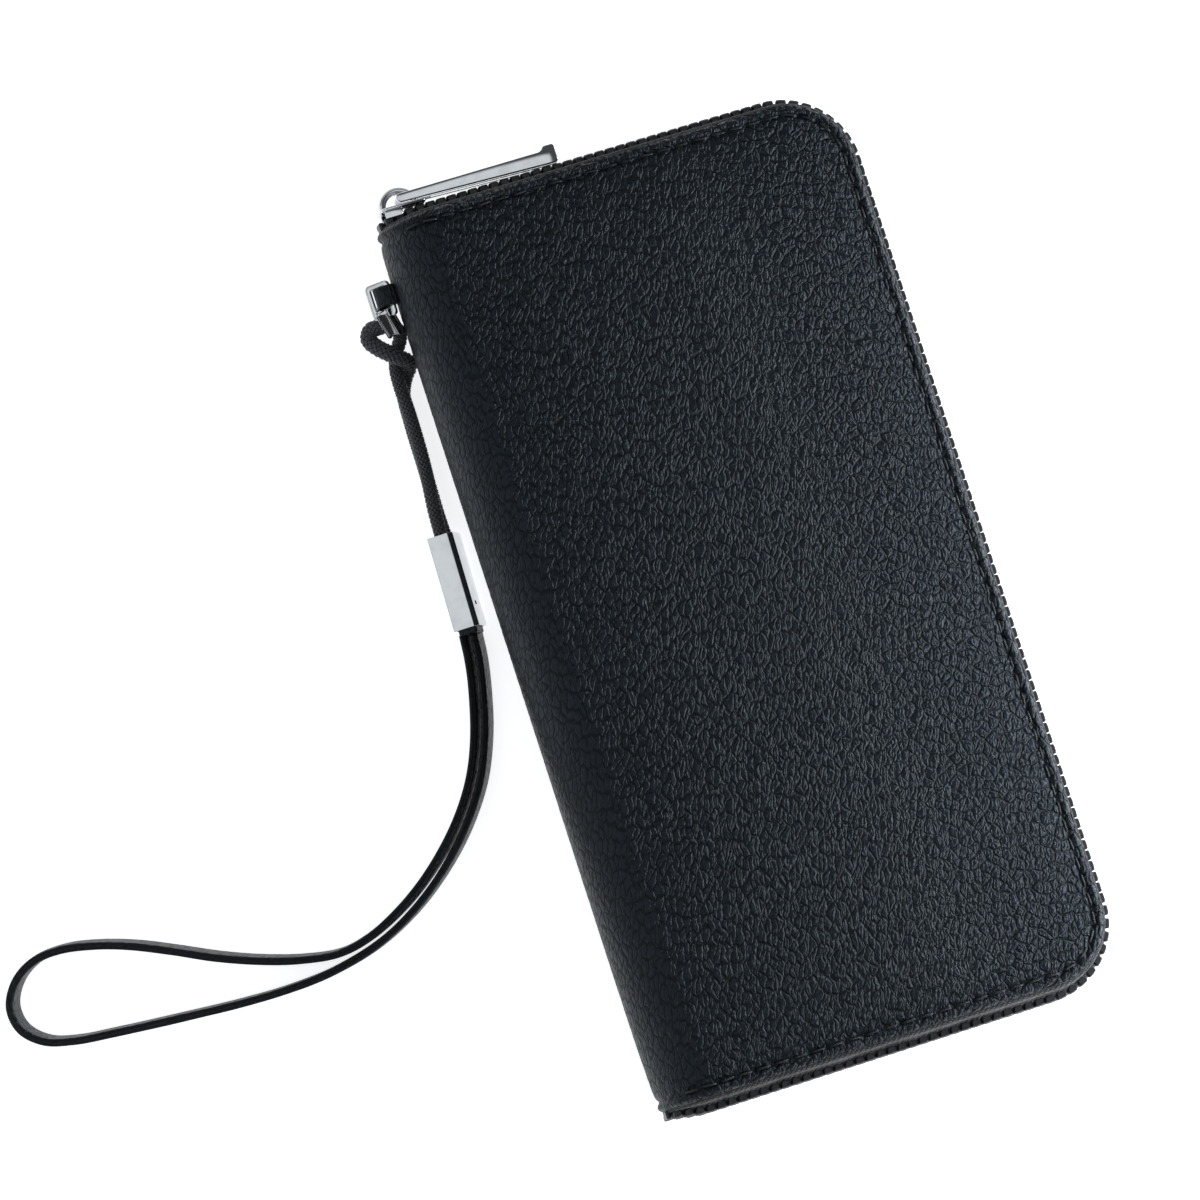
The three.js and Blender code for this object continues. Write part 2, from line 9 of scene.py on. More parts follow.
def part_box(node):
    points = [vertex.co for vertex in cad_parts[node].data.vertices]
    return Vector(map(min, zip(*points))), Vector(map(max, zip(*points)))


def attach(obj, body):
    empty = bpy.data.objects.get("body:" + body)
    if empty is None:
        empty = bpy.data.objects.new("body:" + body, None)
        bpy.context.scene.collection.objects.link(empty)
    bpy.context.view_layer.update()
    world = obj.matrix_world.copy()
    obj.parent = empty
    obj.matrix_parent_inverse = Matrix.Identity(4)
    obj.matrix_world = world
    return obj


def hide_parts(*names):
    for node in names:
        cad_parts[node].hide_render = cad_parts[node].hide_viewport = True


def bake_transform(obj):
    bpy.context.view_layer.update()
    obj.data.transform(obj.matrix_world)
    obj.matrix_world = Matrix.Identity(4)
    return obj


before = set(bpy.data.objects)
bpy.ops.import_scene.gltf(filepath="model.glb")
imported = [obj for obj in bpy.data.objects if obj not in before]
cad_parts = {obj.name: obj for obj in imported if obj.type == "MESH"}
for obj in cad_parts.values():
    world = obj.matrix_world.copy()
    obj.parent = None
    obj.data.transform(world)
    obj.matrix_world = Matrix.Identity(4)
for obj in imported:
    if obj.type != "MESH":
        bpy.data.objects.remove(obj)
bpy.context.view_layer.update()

# ---- Driving dimensions, in millimetres, in the CAD model's frame ----
MM = 0.001
THICKNESS = 25.0
MID_PLANE = THICKNESS / 2
HALF_HEIGHT = 97.0
FREE_EDGE = 48.5
CORNER_RADIUS = 14.0
CORNER_X = FREE_EDGE - CORNER_RADIUS
CORNER_Y = HALF_HEIGHT - CORNER_RADIUS
SPINE_X = -39.3
SPINE_RADIUS = THICKNESS / 2

GRID_STEP = 0.55  # between the points of the leather's mesh
REST_GAP = 0.08  # the grain's own height, kept above what the back rests on
FLOOR_CLEARANCE = 0.02  # kept between the strap and what it lies on
STITCH_PITCH = 4.0
STITCH_INSET = 2.2
TOOTH_PITCH = 2.35

CORD_RADIUS = 1.5
STRIP_HALF_WIDTH = 3.0
STRIP_HALF_THICKNESS = 0.9

random = np.random.default_rng(11)


# ---- Mesh helpers ----
def make_object(name, vertices, faces, material, smooth_angle=None):
    """A mesh object from points in millimetres."""
    mesh = bpy.data.meshes.new(name)
    mesh.from_pydata((np.asarray(vertices, float) * MM).tolist(), [], [tuple(f) for f in faces])
    mesh.validate()
    mesh.shade_smooth()
    if smooth_angle is not None:
        mesh.set_sharp_from_angle(angle=math.radians(smooth_angle))
    obj = bpy.data.objects.new(name, mesh)
    bpy.context.scene.collection.objects.link(obj)
    obj.data.materials.append(material)
    return obj


def grid_faces(rows, columns, close_columns=False):
    """Quads over a grid of points that was flattened row by row."""
    column_count = columns if close_columns else columns - 1
    i, j = np.meshgrid(np.arange(rows - 1), np.arange(column_count), indexing="ij")
    i2 = i + 1
    j2 = (j + 1) % columns
    quads = np.stack([i * columns + j, i2 * columns + j, i2 * columns + j2, i * columns + j2], -1)
    return quads.reshape(-1, 4).tolist()


def flipped(faces):
    """The same faces, looking the other way."""
    return [face[::-1] for face in faces]


def tube_faces(rings, sides):
    """Quads round a tube's rings of points, and a face over each end."""
    faces = grid_faces(rings, sides, close_columns=True)
    faces.append(list(range(sides)))
    faces.append([(rings - 1) * sides + k for k in range(sides)][::-1])
    return faces


def border_of(rows, columns):
    """Indices of a flattened grid's outermost points, in order round it."""
    border = list(range(columns)) + [i * columns + columns - 1 for i in range(1, rows)]
    border += [(rows - 1) * columns + j for j in range(columns - 2, -1, -1)]
    return border + [i * columns for i in range(rows - 2, 0, -1)]


def sheet_faces(rows, columns):
    """Faces of a thin sheet: a grid of points on top, the same grid again below it, and a rim."""
    count = rows * columns
    top = flipped(grid_faces(rows, columns))
    bottom = [[index + count for index in face[::-1]] for face in top]
    border = border_of(rows, columns)
    rim = [[b, a, a + count, b + count] for a, b in zip(border, border[1:] + border[:1])]
    return top + bottom + rim


def turned_over(vertices, faces):
    """Points and faces made for the front half, mirrored to the back half."""
    mirrored = vertices.copy()
    mirrored[:, 2] = THICKNESS - mirrored[:, 2]
    return mirrored, flipped(faces)


def unit(vectors):
    """Each vector made one long."""
    return vectors / np.linalg.norm(vectors, axis=-1, keepdims=True)


def tangents_of(points):
    return unit(np.gradient(points, axis=0))


def smooth(share):
    """From 0 to 1 with a soft start and end."""
    return share * share * (3 - 2 * share)


def circle(radius, steps, middle_x=0.0):
    """Points round a circle, anticlockwise."""
    angles = np.linspace(0, 2 * math.pi, steps, endpoint=False)
    return [(radius * math.cos(a) + middle_x, radius * math.sin(a)) for a in angles]


def box_mm(node):
    """A CAD piece's low and high corners, in millimetres."""
    return [np.array(corner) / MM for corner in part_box(node)]


def store_vectors(obj, name, values):
    attribute = obj.data.attributes.new(name, "FLOAT_VECTOR", "POINT")
    attribute.data.foreach_set("vector", np.asarray(values, np.float32).ravel())


def lay_grain_by_place(obj):
    """Lets the leather's grain run straight through a small piece."""
    store_vectors(obj, "leather_mm", [tuple(1000 * c for c in v.co) for v in obj.data.vertices])


def apply_modifiers(obj):
    """Turns an object's modifiers into its mesh."""
    graph = bpy.context.evaluated_depsgraph_get()
    final = bpy.data.meshes.new_from_object(obj.evaluated_get(graph))
    obj.modifiers.clear()
    old = obj.data
    obj.data = final
    bpy.data.meshes.remove(old)


def bevel(obj, width, segments=3):
    """Rounds an object's sharp edges. The width is in millimetres."""
    modifier = obj.modifiers.new("edges", "BEVEL")
    modifier.width = width * MM
    modifier.segments = segments
    modifier.limit_method = "ANGLE"
    modifier.angle_limit = math.radians(30)
    modifier.harden_normals = False
    apply_modifiers(obj)
    obj.data.shade_smooth()
    obj.data.set_sharp_from_angle(angle=math.radians(40))


def join_objects(name, objects):
    """Puts several objects' meshes into the first one."""
    merged = bmesh.new()
    for obj in objects:
        obj.data.transform(obj.matrix_world)
        merged.from_mesh(obj.data)
    target = objects[0]
    target.matrix_world = Matrix.Identity(4)
    merged.to_mesh(target.data)
    merged.free()
    for obj in objects[1:]:
        bpy.data.objects.remove(obj)
    target.name = name
    return target


def prism(name, outline, low, high, material, holes=(), bevel_width=0.0, segments=3):
    """An outline in X and Y, drawn anticlockwise, carried from low to high along Z.
    A hole has as many points as the outline, so that a ring of quads joins them."""
    count = len(outline)
    loops = [outline, *holes]
    vertices = []
    for loop in loops:
        for z in (low, high):
            vertices += [(x, y, z) for x, y in loop]
    faces = []
    for index in range(len(loops)):
        base = index * 2 * count
        for k in range(count):
            k2 = (k + 1) % count
            side = [base + k, base + k2, base + count + k2, base + count + k]
            faces.append(side if index == 0 else side[::-1])
    if holes:
        inner = 2 * count
        for k in range(count):
            k2 = (k + 1) % count
            faces.append([k2, k, inner + k, inner + k2])
            faces.append([count + k, count + k2, inner + count + k2, inner + count + k])
    else:
        faces.append(list(range(count))[::-1])
        faces.append(list(range(count, 2 * count)))
    obj = make_object(name, vertices, faces, material)
    if bevel_width:
        bevel(obj, bevel_width, segments)
    return obj


def rounded_rectangle(half_x, half_y, radius, steps=6):
    """Points round a rectangle with round corners, anticlockwise."""
    points = []
    for corner, (sx, sy) in enumerate([(1, 1), (-1, 1), (-1, -1), (1, -1)]):
        for k in range(steps + 1):
            angle = math.pi / 2 * (corner + k / steps)
            x = sx * (half_x - radius) + radius * math.cos(angle)
            y = sy * (half_y - radius) + radius * math.sin(angle)
            points.append((x, y))
    return points


def place(obj, matrix):
    """Moves an object's mesh by a matrix whose translation is in millimetres."""
    scaled = matrix.copy()
    scaled.translation = matrix.translation * MM
    obj.data.transform(scaled)


def frames_along(points):
    """Unit tangents, and two sideways directions that don't twist, along a line of points."""
    tangents = tangents_of(points)
    normal = unit(np.cross(tangents[0], [0, 0, 1.0]))
    normals = []
    for tangent in tangents:
        normal = unit(normal - tangent * normal.dot(tangent))
        normals.append(normal)
    normals = np.array(normals)
    return tangents, normals, np.cross(tangents, normals)


def sweep(points, widths, depths, sides, normals, binormals):
    """An elliptical tube's vertices and faces, with closed ends."""
    angles = np.linspace(0, 2 * np.pi, sides, endpoint=False)
    widths = np.broadcast_to(widths, len(points))
    depths = np.broadcast_to(depths, len(points))
    ring = (
        points[:, None]
        + normals[:, None] * (widths[:, None] * np.cos(angles))[..., None]
        + binormals[:, None] * (depths[:, None] * np.sin(angles))[..., None]
    )
    return ring.reshape(-1, 3), tube_faces(len(points), sides)


def gather(parts):
    """Joins (vertices, faces) pairs into one."""
    vertices, faces, first = [], [], 0
    for part_vertices, part_faces in parts:
        vertices.append(np.asarray(part_vertices))
        faces += [[index + first for index in face] for face in part_faces]
        first += len(part_vertices)
    return np.concatenate(vertices), faces


def catmull_rom(points, count):
    """Evenly spaced points on a centripetal Catmull-Rom curve, as the CAD model draws its routes."""
    points = np.asarray(points, float)
    padded = np.vstack([2 * points[0] - points[1], points, 2 * points[-1] - points[-2]])
    dense = []
    for i in range(len(points) - 1):
        p0, p1, p2, p3 = padded[i : i + 4]
        d0, d1, d2 = (max(np.linalg.norm(b - a) ** 0.5, 1e-4) for a, b in ((p0, p1), (p1, p2), (p2, p3)))
        t1 = ((p1 - p0) / d0 - (p2 - p0) / (d0 + d1) + (p2 - p1) / d1) * d1
        t2 = ((p2 - p1) / d1 - (p3 - p1) / (d1 + d2) + (p3 - p2) / d2) * d1
        t = np.linspace(0, 1, 24, endpoint=False)[:, None]
        dense.append(
            (2 * p1 - 2 * p2 + t1 + t2) * t**3 + (-3 * p1 + 3 * p2 - 2 * t1 - t2) * t**2 + t1 * t + p1
        )
    dense = np.vstack([*dense, points[-1:]])
    lengths = np.concatenate([[0], np.cumsum(np.linalg.norm(np.diff(dense, axis=0), axis=1))])
    even = np.linspace(0, lengths[-1], count)
    return np.stack([np.interp(even, lengths, dense[:, axis]) for axis in range(3)], -1)


def path_length(points):
    return float(np.linalg.norm(np.diff(points, axis=0), axis=1).sum())


# ---- The wallet's edge, from the bottom of the spine round to its top ----
def edge_length(offset, start):
    return 2 * (CORNER_X - start) + 2 * CORNER_Y + math.pi * (CORNER_RADIUS + offset)


def edge_at(distance, offset, start):
    """Points and outward normals at distances along the edge, moved outwards by offset."""
    distance = np.atleast_1d(np.asarray(distance, float))
    radius = CORNER_RADIUS + offset
    straight = CORNER_X - start
    arc = radius * math.pi / 2
    marks = np.cumsum([straight, arc, 2 * CORNER_Y, arc])
    points = np.zeros((len(distance), 2))
    normals = np.zeros((len(distance), 2))
    for k, d in enumerate(distance):
        if d < marks[0]:
            points[k] = start + d, -HALF_HEIGHT - offset
            normals[k] = 0, -1
        elif d < marks[1]:
            angle = -math.pi / 2 + (d - marks[0]) / radius
            normals[k] = math.cos(angle), math.sin(angle)
            points[k] = CORNER_X + radius * normals[k][0], -CORNER_Y + radius * normals[k][1]
        elif d < marks[2]:
            points[k] = FREE_EDGE + offset, -CORNER_Y + d - marks[1]
            normals[k] = 1, 0
        elif d < marks[3]:
            angle = (d - marks[2]) / radius
            normals[k] = math.cos(angle), math.sin(angle)
            points[k] = CORNER_X + radius * normals[k][0], CORNER_Y + radius * normals[k][1]
        else:
            points[k] = CORNER_X - (d - marks[3]), HALF_HEIGHT + offset
            normals[k] = 0, 1
    return points, normals


def edge_distance(x, y):
    """How far a point on a cover lies inside the leather's edge."""
    corner = CORNER_RADIUS - np.hypot(x - CORNER_X, np.abs(y) - CORNER_Y)
    in_corner = (x > CORNER_X) & (np.abs(y) > CORNER_Y)
    return np.where(in_corner, corner, np.minimum(HALF_HEIGHT - np.abs(y), FREE_EDGE - x))


def stitch_phase(x, y):
    """Distance along the stitch line beside a point, measured from the middle of the free edge."""
    radius = CORNER_RADIUS - STITCH_INSET
    angle = np.arctan2(np.maximum(np.abs(y) - CORNER_Y, 0), np.maximum(x - CORNER_X, 1e-6))
    round_corner = CORNER_Y + radius * angle
    along_side = CORNER_Y + radius * math.pi / 2 + (CORNER_X - x)
    value = np.where(x < CORNER_X, along_side, np.where(np.abs(y) < CORNER_Y, np.abs(y), round_corner))
    return np.where((x < CORNER_X) & (HALF_HEIGHT - np.abs(y) > 12), 0, value)


# ---- Node helpers for materials and for the leather's relief ----
class Nodes:
    """A short way to add nodes and links to a tree."""

    def __init__(self, tree):
        self.tree = tree

    def add(self, kind, inputs=None, **settings):
        node = self.tree.nodes.new(kind)
        for name, value in settings.items():
            setattr(node, name, value)
        for name, value in (inputs or {}).items():
            if isinstance(value, bpy.types.NodeSocket):
                self.tree.links.new(value, node.inputs[name])
            else:
                node.inputs[name].default_value = value
        return node

    def math(self, operation, a, b=0.0):
        return self.add("ShaderNodeMath", {0: a, 1: b}, operation=operation).outputs[0]

    def plus(self, a, b):
        return self.math("ADD", a, b)

    def minus(self, a, b):
        return self.math("SUBTRACT", a, b)

    def times(self, a, b):
        return self.math("MULTIPLY", a, b)

    def vector(self, operation, a, b):
        return self.add("ShaderNodeVectorMath", {0: a, 1: b}, operation=operation).outputs[0]

    def object_mm(self):
        """Object coordinates in millimetres."""
        place_in_m = self.add("ShaderNodeTexCoord").outputs["Object"]
        return self.vector("MULTIPLY", place_in_m, (1000, 1000, 1000))

    def noise(self, coordinates, scale, detail, roughness=0.5):
        inputs = {"Vector": coordinates, "Scale": scale, "Detail": detail, "Roughness": roughness}
        return self.add("ShaderNodeTexNoise", inputs)

    def steps(self, value, low, high, to_low=0.0, to_high=1.0):
        inputs = {"Value": value, "From Min": low, "From Max": high, "To Min": to_low, "To Max": to_high}
        return self.add("ShaderNodeMapRange", inputs, interpolation_type="SMOOTHSTEP").outputs["Result"]

    def mix_colour(self, factor, first, second):
        node = self.tree.nodes.new("ShaderNodeMix")
        node.data_type = "RGBA"
        self.tree.links.new(factor, node.inputs["Factor"])
        for socket, value in ((node.inputs[6], first), (node.inputs[7], second)):
            socket.default_value = (*value, 1)
        return node.outputs[2]


GRAIN_TURN = math.radians(18)  # the long creases' slant
GRAIN_LEVEL = 0.75  # the relief's height that lies in the leather's face
HALF_TURN = math.pi / 2 * SPINE_RADIUS  # from a fold to the middle of the spine's outside


def pebbles(nodes, coordinates, cell_width, cell_length, crease_width):
    """1 on a pebble and 0 in the creases between, from coordinates in millimetres."""
    stretched = nodes.vector("MULTIPLY", coordinates, (1 / cell_width, 1 / cell_length, 1))
    inputs = {"Vector": stretched, "Scale": 1.0, "Randomness": 0.9}
    cells = nodes.add("ShaderNodeTexVoronoi", inputs, feature="DISTANCE_TO_EDGE", voronoi_dimensions="2D")
    return nodes.steps(cells.outputs["Distance"], 0.0, crease_width)


def leather_relief(nodes, coordinates):
    """Height of the leather's grain, about 0 to 1. It is faint round the spine, has long creases beside it,
    and rounder ones by the free edge."""
    turn = {"Vector": coordinates, "Angle": GRAIN_TURN}
    turned = nodes.add("ShaderNodeVectorRotate", turn, rotation_type="Z_AXIS").outputs[0]
    drift = nodes.noise(turned, 0.33, 2.0).outputs["Color"]
    warp = nodes.vector("MULTIPLY", nodes.vector("SUBTRACT", drift, (0.5, 0.5, 0.5)), (2.2, 2.2, 0))
    warped = nodes.vector("ADD", turned, warp)
    long_cells = pebbles(nodes, warped, 1.2, 3.1, 0.20)
    round_cells = pebbles(nodes, warped, 1.75, 2.4, 0.17)
    across = nodes.add("ShaderNodeSeparateXYZ", {"Vector": coordinates}).outputs["X"]
    from_middle = nodes.math("ABSOLUTE", nodes.plus(across, HALF_TURN))
    from_fold = nodes.minus(from_middle, HALF_TURN)
    share = nodes.steps(from_fold, 38.0, 72.0)
    depth = nodes.steps(from_fold, -15.0, 6.0, 0.35, 1.0)
    large = nodes.plus(nodes.times(long_cells, nodes.minus(1.0, share)),
                       nodes.times(round_cells, share))
    fine = pebbles(nodes, warped, 0.7, 1.25, 0.30)
    swell = nodes.noise(turned, 0.8, 2.0).outputs["Fac"]
    height = nodes.times(large, 0.62)
    height = nodes.plus(height, nodes.times(nodes.times(fine, large), 0.22))
    height = nodes.times(height, depth)
    return nodes.plus(height, nodes.times(swell, 0.5)), large, fine


def emboss(obj, depth):
    """Presses the leather's grain into a finely divided mesh. The depth is in millimetres."""
    tree = bpy.data.node_groups.new("emboss", "GeometryNodeTree")
    tree.interface.new_socket("Geometry", in_out="INPUT", socket_type="NodeSocketGeometry")
    tree.interface.new_socket("Geometry", in_out="OUTPUT", socket_type="NodeSocketGeometry")
    nodes = Nodes(tree)
    start = nodes.add("NodeGroupInput")
    end = nodes.add("NodeGroupOutput")
    named = nodes.add("GeometryNodeInputNamedAttribute", {"Name": "leather_mm"}, data_type="FLOAT_VECTOR")
    height, _, _ = leather_relief(nodes, named.outputs["Attribute"])
    lift = nodes.times(nodes.minus(height, GRAIN_LEVEL), depth * MM)
    normal = nodes.add("GeometryNodeInputNormal").outputs[0]
    offset = nodes.add("ShaderNodeVectorMath", {0: normal, "Scale": lift}, operation="SCALE").outputs[0]
    moved = nodes.add("GeometryNodeSetPosition", {"Geometry": start.outputs[0], "Offset": offset})
    tree.links.new(moved.outputs[0], end.inputs[0])
    obj.modifiers.new("emboss", "NODES").node_group = tree
    apply_modifiers(obj)


# ---- Materials ----
def new_material(name):
    material = bpy.data.materials.new(name)
    material.use_nodes = True
    nodes = Nodes(material.node_tree)
    shader = material.node_tree.nodes["Principled BSDF"]
    return material, nodes, shader


def set_bump(nodes, shader, height, distance):
    """Bump from a height of 0 to 1. The distance is in millimetres."""
    bump = nodes.add("ShaderNodeBump", {"Height": height, "Distance": distance * MM, "Strength": 1.0})
    nodes.tree.links.new(bump.outputs[0], shader.inputs["Normal"])


def set_face(nodes, shader, colour, rough):
    """Links a face's colour and roughness."""
    nodes.tree.links.new(colour, shader.inputs["Base Color"])
    nodes.tree.links.new(rough, shader.inputs["Roughness"])


def leather_material(name, tone, crease_shade, bump_depth, roughness):
    """Black pebbled leather, duller in its creases, with painted shade darkening them."""
    material, nodes, shader = new_material(name)
    coordinates = nodes.add("ShaderNodeAttribute", attribute_name="leather_mm").outputs["Vector"]
    height, large, fine = leather_relief(nodes, coordinates)
    pores = nodes.noise(coordinates, 5.0, 3.0, 0.6).outputs["Fac"]
    blotches = nodes.noise(coordinates, 0.06, 3.0).outputs["Fac"]
    top = nodes.times(large, nodes.steps(fine, 0.0, 1.0, 0.72, 1.0))
    # The dark crease colour is painted shade in the creases; the blotches are the leather's own uneven tone.
    blotches_and_crease_shade = nodes.times(top, nodes.steps(blotches, 0.3, 0.7, 0.8, 1.0))
    colour = nodes.mix_colour(blotches_and_crease_shade, crease_shade, tone)
    rough = nodes.steps(top, 0.0, 1.0, roughness[1], roughness[0])
    rough = nodes.plus(rough, nodes.times(nodes.minus(pores, 0.5), 0.16))
    set_face(nodes, shader, colour, rough)
    relief = nodes.plus(height, nodes.times(pores, 0.10))
    set_bump(nodes, shader, relief, bump_depth)
    shader.inputs["Specular IOR Level"].default_value = 0.30
    shader.inputs["Specular Tint"].default_value = (0.80, 0.90, 1.0, 1)
    return material


def cloth_material(name, dark, light, thread=0.42, depth=0.08, roughness=0.8):
    """Plain woven cloth: two sets of crossing threads, with painted shade darkening the gaps between them."""
    material, nodes, shader = new_material(name)
    coordinates = nodes.object_mm()
    wobble = nodes.noise(coordinates, 0.9, 2.0).outputs["Color"]
    coordinates = nodes.vector("ADD", coordinates, nodes.vector("MULTIPLY", wobble, (0.12, 0.12, 0.12)))
    parts = nodes.add("ShaderNodeSeparateXYZ", {"Vector": coordinates})
    turn = math.pi / thread
    u = nodes.plus(parts.outputs["X"], nodes.times(parts.outputs["Z"], 0.9))
    v = nodes.plus(parts.outputs["Y"], nodes.times(parts.outputs["Z"], 0.9))
    warp_threads = nodes.math("SINE", nodes.times(u, turn))
    weft_threads = nodes.math("SINE", nodes.times(v, turn))
    weave = nodes.math("ABSOLUTE", nodes.plus(warp_threads, weft_threads))
    height = nodes.times(weave, 0.5)
    fibres = nodes.noise(coordinates, 6.0, 3.0, 0.7).outputs["Fac"]
    # Painted shade: the dark colour falls where the weave is low, between the threads, and random fibres
    # fleck the light one.
    fibres_and_groove_shade = nodes.times(height, nodes.steps(fibres, 0.3, 0.75))
    rough = nodes.steps(fibres, 0.2, 0.8, roughness - 0.12, roughness + 0.08)
    set_face(nodes, shader, nodes.mix_colour(fibres_and_groove_shade, dark, light), rough)
    set_bump(nodes, shader, nodes.plus(height, nodes.times(fibres, 0.35)), depth)
    shader.inputs["Sheen Weight"].default_value = 0.15
    shader.inputs["Sheen Roughness"].default_value = 0.4
    return material


def chrome_material(name, tone, roughness):
    """Polished plating with faint wipe marks and tiny scratches."""
    material, nodes, shader = new_material(name)
    coordinates = nodes.object_mm()
    smears = nodes.noise(coordinates, 0.35, 3.0).outputs["Fac"]
    drawn = nodes.vector("MULTIPLY", coordinates, (1.2, 0.12, 1.2))
    scratches = nodes.noise(drawn, 6.0, 2.0, 0.6).outputs["Fac"]
    worn = nodes.mix_colour(nodes.steps(smears, 0.35, 0.7), tone, tuple(0.9 * c for c in tone))
    rough = nodes.steps(smears, 0.3, 0.75, roughness[0], roughness[1])
    set_face(nodes, shader, worn, rough)
    set_bump(nodes, shader, scratches, 0.004)
    shader.inputs["Metallic"].default_value = 1.0
    return material


def thread_material(name, dark, light, turn_length, roughness):
    """Twisted thread: fine slanting strands, with painted shade darkening the grooves between them."""
    material, nodes, shader = new_material(name)
    coordinates = nodes.object_mm()
    parts = nodes.add("ShaderNodeSeparateXYZ", {"Vector": coordinates})
    slant = nodes.plus(parts.outputs["X"], nodes.plus(parts.outputs["Y"], parts.outputs["Z"]))
    strands = nodes.math("SINE", nodes.times(slant, 2 * math.pi / turn_length))
    height = nodes.steps(strands, -1.0, 1.0)
    fibres = nodes.noise(coordinates, 7.0, 3.0, 0.7).outputs["Fac"]
    # Painted shade: the dark colour falls in the grooves between the strands, broken up by random fibres.
    fibres_and_groove_shade = nodes.times(height, nodes.steps(fibres, 0.25, 0.8))
    rough = nodes.steps(fibres, 0.2, 0.8, roughness - 0.1, roughness + 0.12)
    set_face(nodes, shader, nodes.mix_colour(fibres_and_groove_shade, dark, light), rough)
    set_bump(nodes, shader, nodes.plus(height, nodes.times(fibres, 0.5)), 0.05)
    return material


def moulded_material(name, dark, light, roughness):
    """Moulded or pressed dark parts with a slightly uneven face."""
    material, nodes, shader = new_material(name)
    coordinates = nodes.object_mm()
    mottle = nodes.noise(coordinates, 0.9, 3.0).outputs["Fac"]
    colour = nodes.mix_colour(nodes.steps(mottle, 0.3, 0.7), dark, light)
    rough = nodes.steps(mottle, 0.3, 0.7, roughness + 0.1, roughness - 0.06)
    set_face(nodes, shader, colour, rough)
    set_bump(nodes, shader, nodes.noise(coordinates, 3.5, 3.0).outputs["Fac"], 0.03)
    return material


# Colours are linear. Where two colours aren't named, the dark one comes before the light one.
LEATHER = leather_material(
    "pebbled_leather",
    tone=(0.0036, 0.0072, 0.0125),
    # The crease colour is painted shade.
    crease_shade=(0.0005, 0.0010, 0.0018),
    bump_depth=0.35,
    roughness=(0.35, 0.58),
)
STRAP_LEATHER = leather_material(
    "strap_leather",
    tone=(0.008, 0.009, 0.011),
    # The crease colour is painted shade.
    crease_shade=(0.002, 0.0025, 0.003),
    bump_depth=0.12,
    roughness=(0.38, 0.52),
)
# The dark colours of the cloths and threads below are partly painted shade in the gaps between their threads.
LINING = cloth_material("lining_cloth", (0.010, 0.011, 0.013), (0.045, 0.047, 0.053))
TAPE = cloth_material("zip_tape_cloth", (0.0016, 0.0024, 0.0036), (0.026, 0.034, 0.044), 0.6, 0.16)
TEETH = moulded_material("zip_teeth", (0.003, 0.004, 0.006), (0.012, 0.015, 0.020), 0.38)
CHROME = chrome_material("polished_chrome", (0.68, 0.70, 0.72), (0.04, 0.09))
BRAID = thread_material("cord_braid", (0.002, 0.0026, 0.0036), (0.24, 0.26, 0.29), 0.30, 0.42)
THREAD = thread_material("sewing_thread", (0.0012, 0.0020, 0.0032), (0.010, 0.015, 0.022), 0.5, 0.45)
BOARD = cloth_material("cover_board", (0.12, 0.095, 0.065), (0.24, 0.20, 0.15), 0.5, 0.04, 0.9)


# ---- Camera ----
CAMERA_DISTANCE = 1.387  # in metres, from its target on the front cover


def add_camera():
    """Above the front cover, leaning to the spine and the foot, and rolled by 18 degrees."""
    view = Vector((-0.155, -0.092, 1)).normalized()
    target = Vector((-32.5, 8.0, THICKNESS)) * MM
    up = Vector((0.309, 0.951, 0))
    up = (up - view * up.dot(view)).normalized()
    right = up.cross(view)
    data = bpy.data.cameras.new("camera")
    data.lens = 200
    data.sensor_width = 36
    data.clip_end = 20
    camera = bpy.data.objects.new("camera", data)
    turn = Matrix((right, up, view)).transposed().to_4x4()
    camera.matrix_world = Matrix.Translation(target + view * CAMERA_DISTANCE) @ turn
    bpy.context.scene.collection.objects.link(camera)
    bpy.context.scene.camera = camera


# ---- Cord: one braided cord, hitched on the link, both ends in the clamp ----
LOWER_LEG = [(-56.5, 28, 2.93), (-56.35, 33, 2.85), (-56.3, 38, 2.3), (-56.0, 47, 1.7), (-55.8, 58, 1.7)]
HITCH = [
    (-55.4, 64.0, 1.9),
    (-53.9, 67.4, 2.6),
    (-52.7, 69.0, 4.2),
    (-53.0, 70.1, 6.5),
    (-54.6, 71.0, 8.2),
    (-56.6, 72.5, 8.9),
    (-58.5, 74.4, 8.6),
    (-59.7, 76.6, 8.0),
    (-58.8, 78.3, 8.4),
    (-56.8, 78.3, 9.3),
    (-54.3, 77.5, 10.1),
    (-52.9, 76.6, 9.3),
    (-53.2, 75.0, 7.3),
    (-54.6, 72.6, 5.7),
    (-55.7, 69.6, 5.2),
]
UPPER_LEG = [
    (-56.0, 66.3, 5.2),
    (-55.9, 58, 5.0),
    (-56.3, 47, 5.0),
    (-57.2, 38, 5.4),
    (-57.5, 33, 5.8),
    (-57.7, 28, 5.87),
]


LINK_OPENING = np.array([-54.0, 77.3, 9.9])


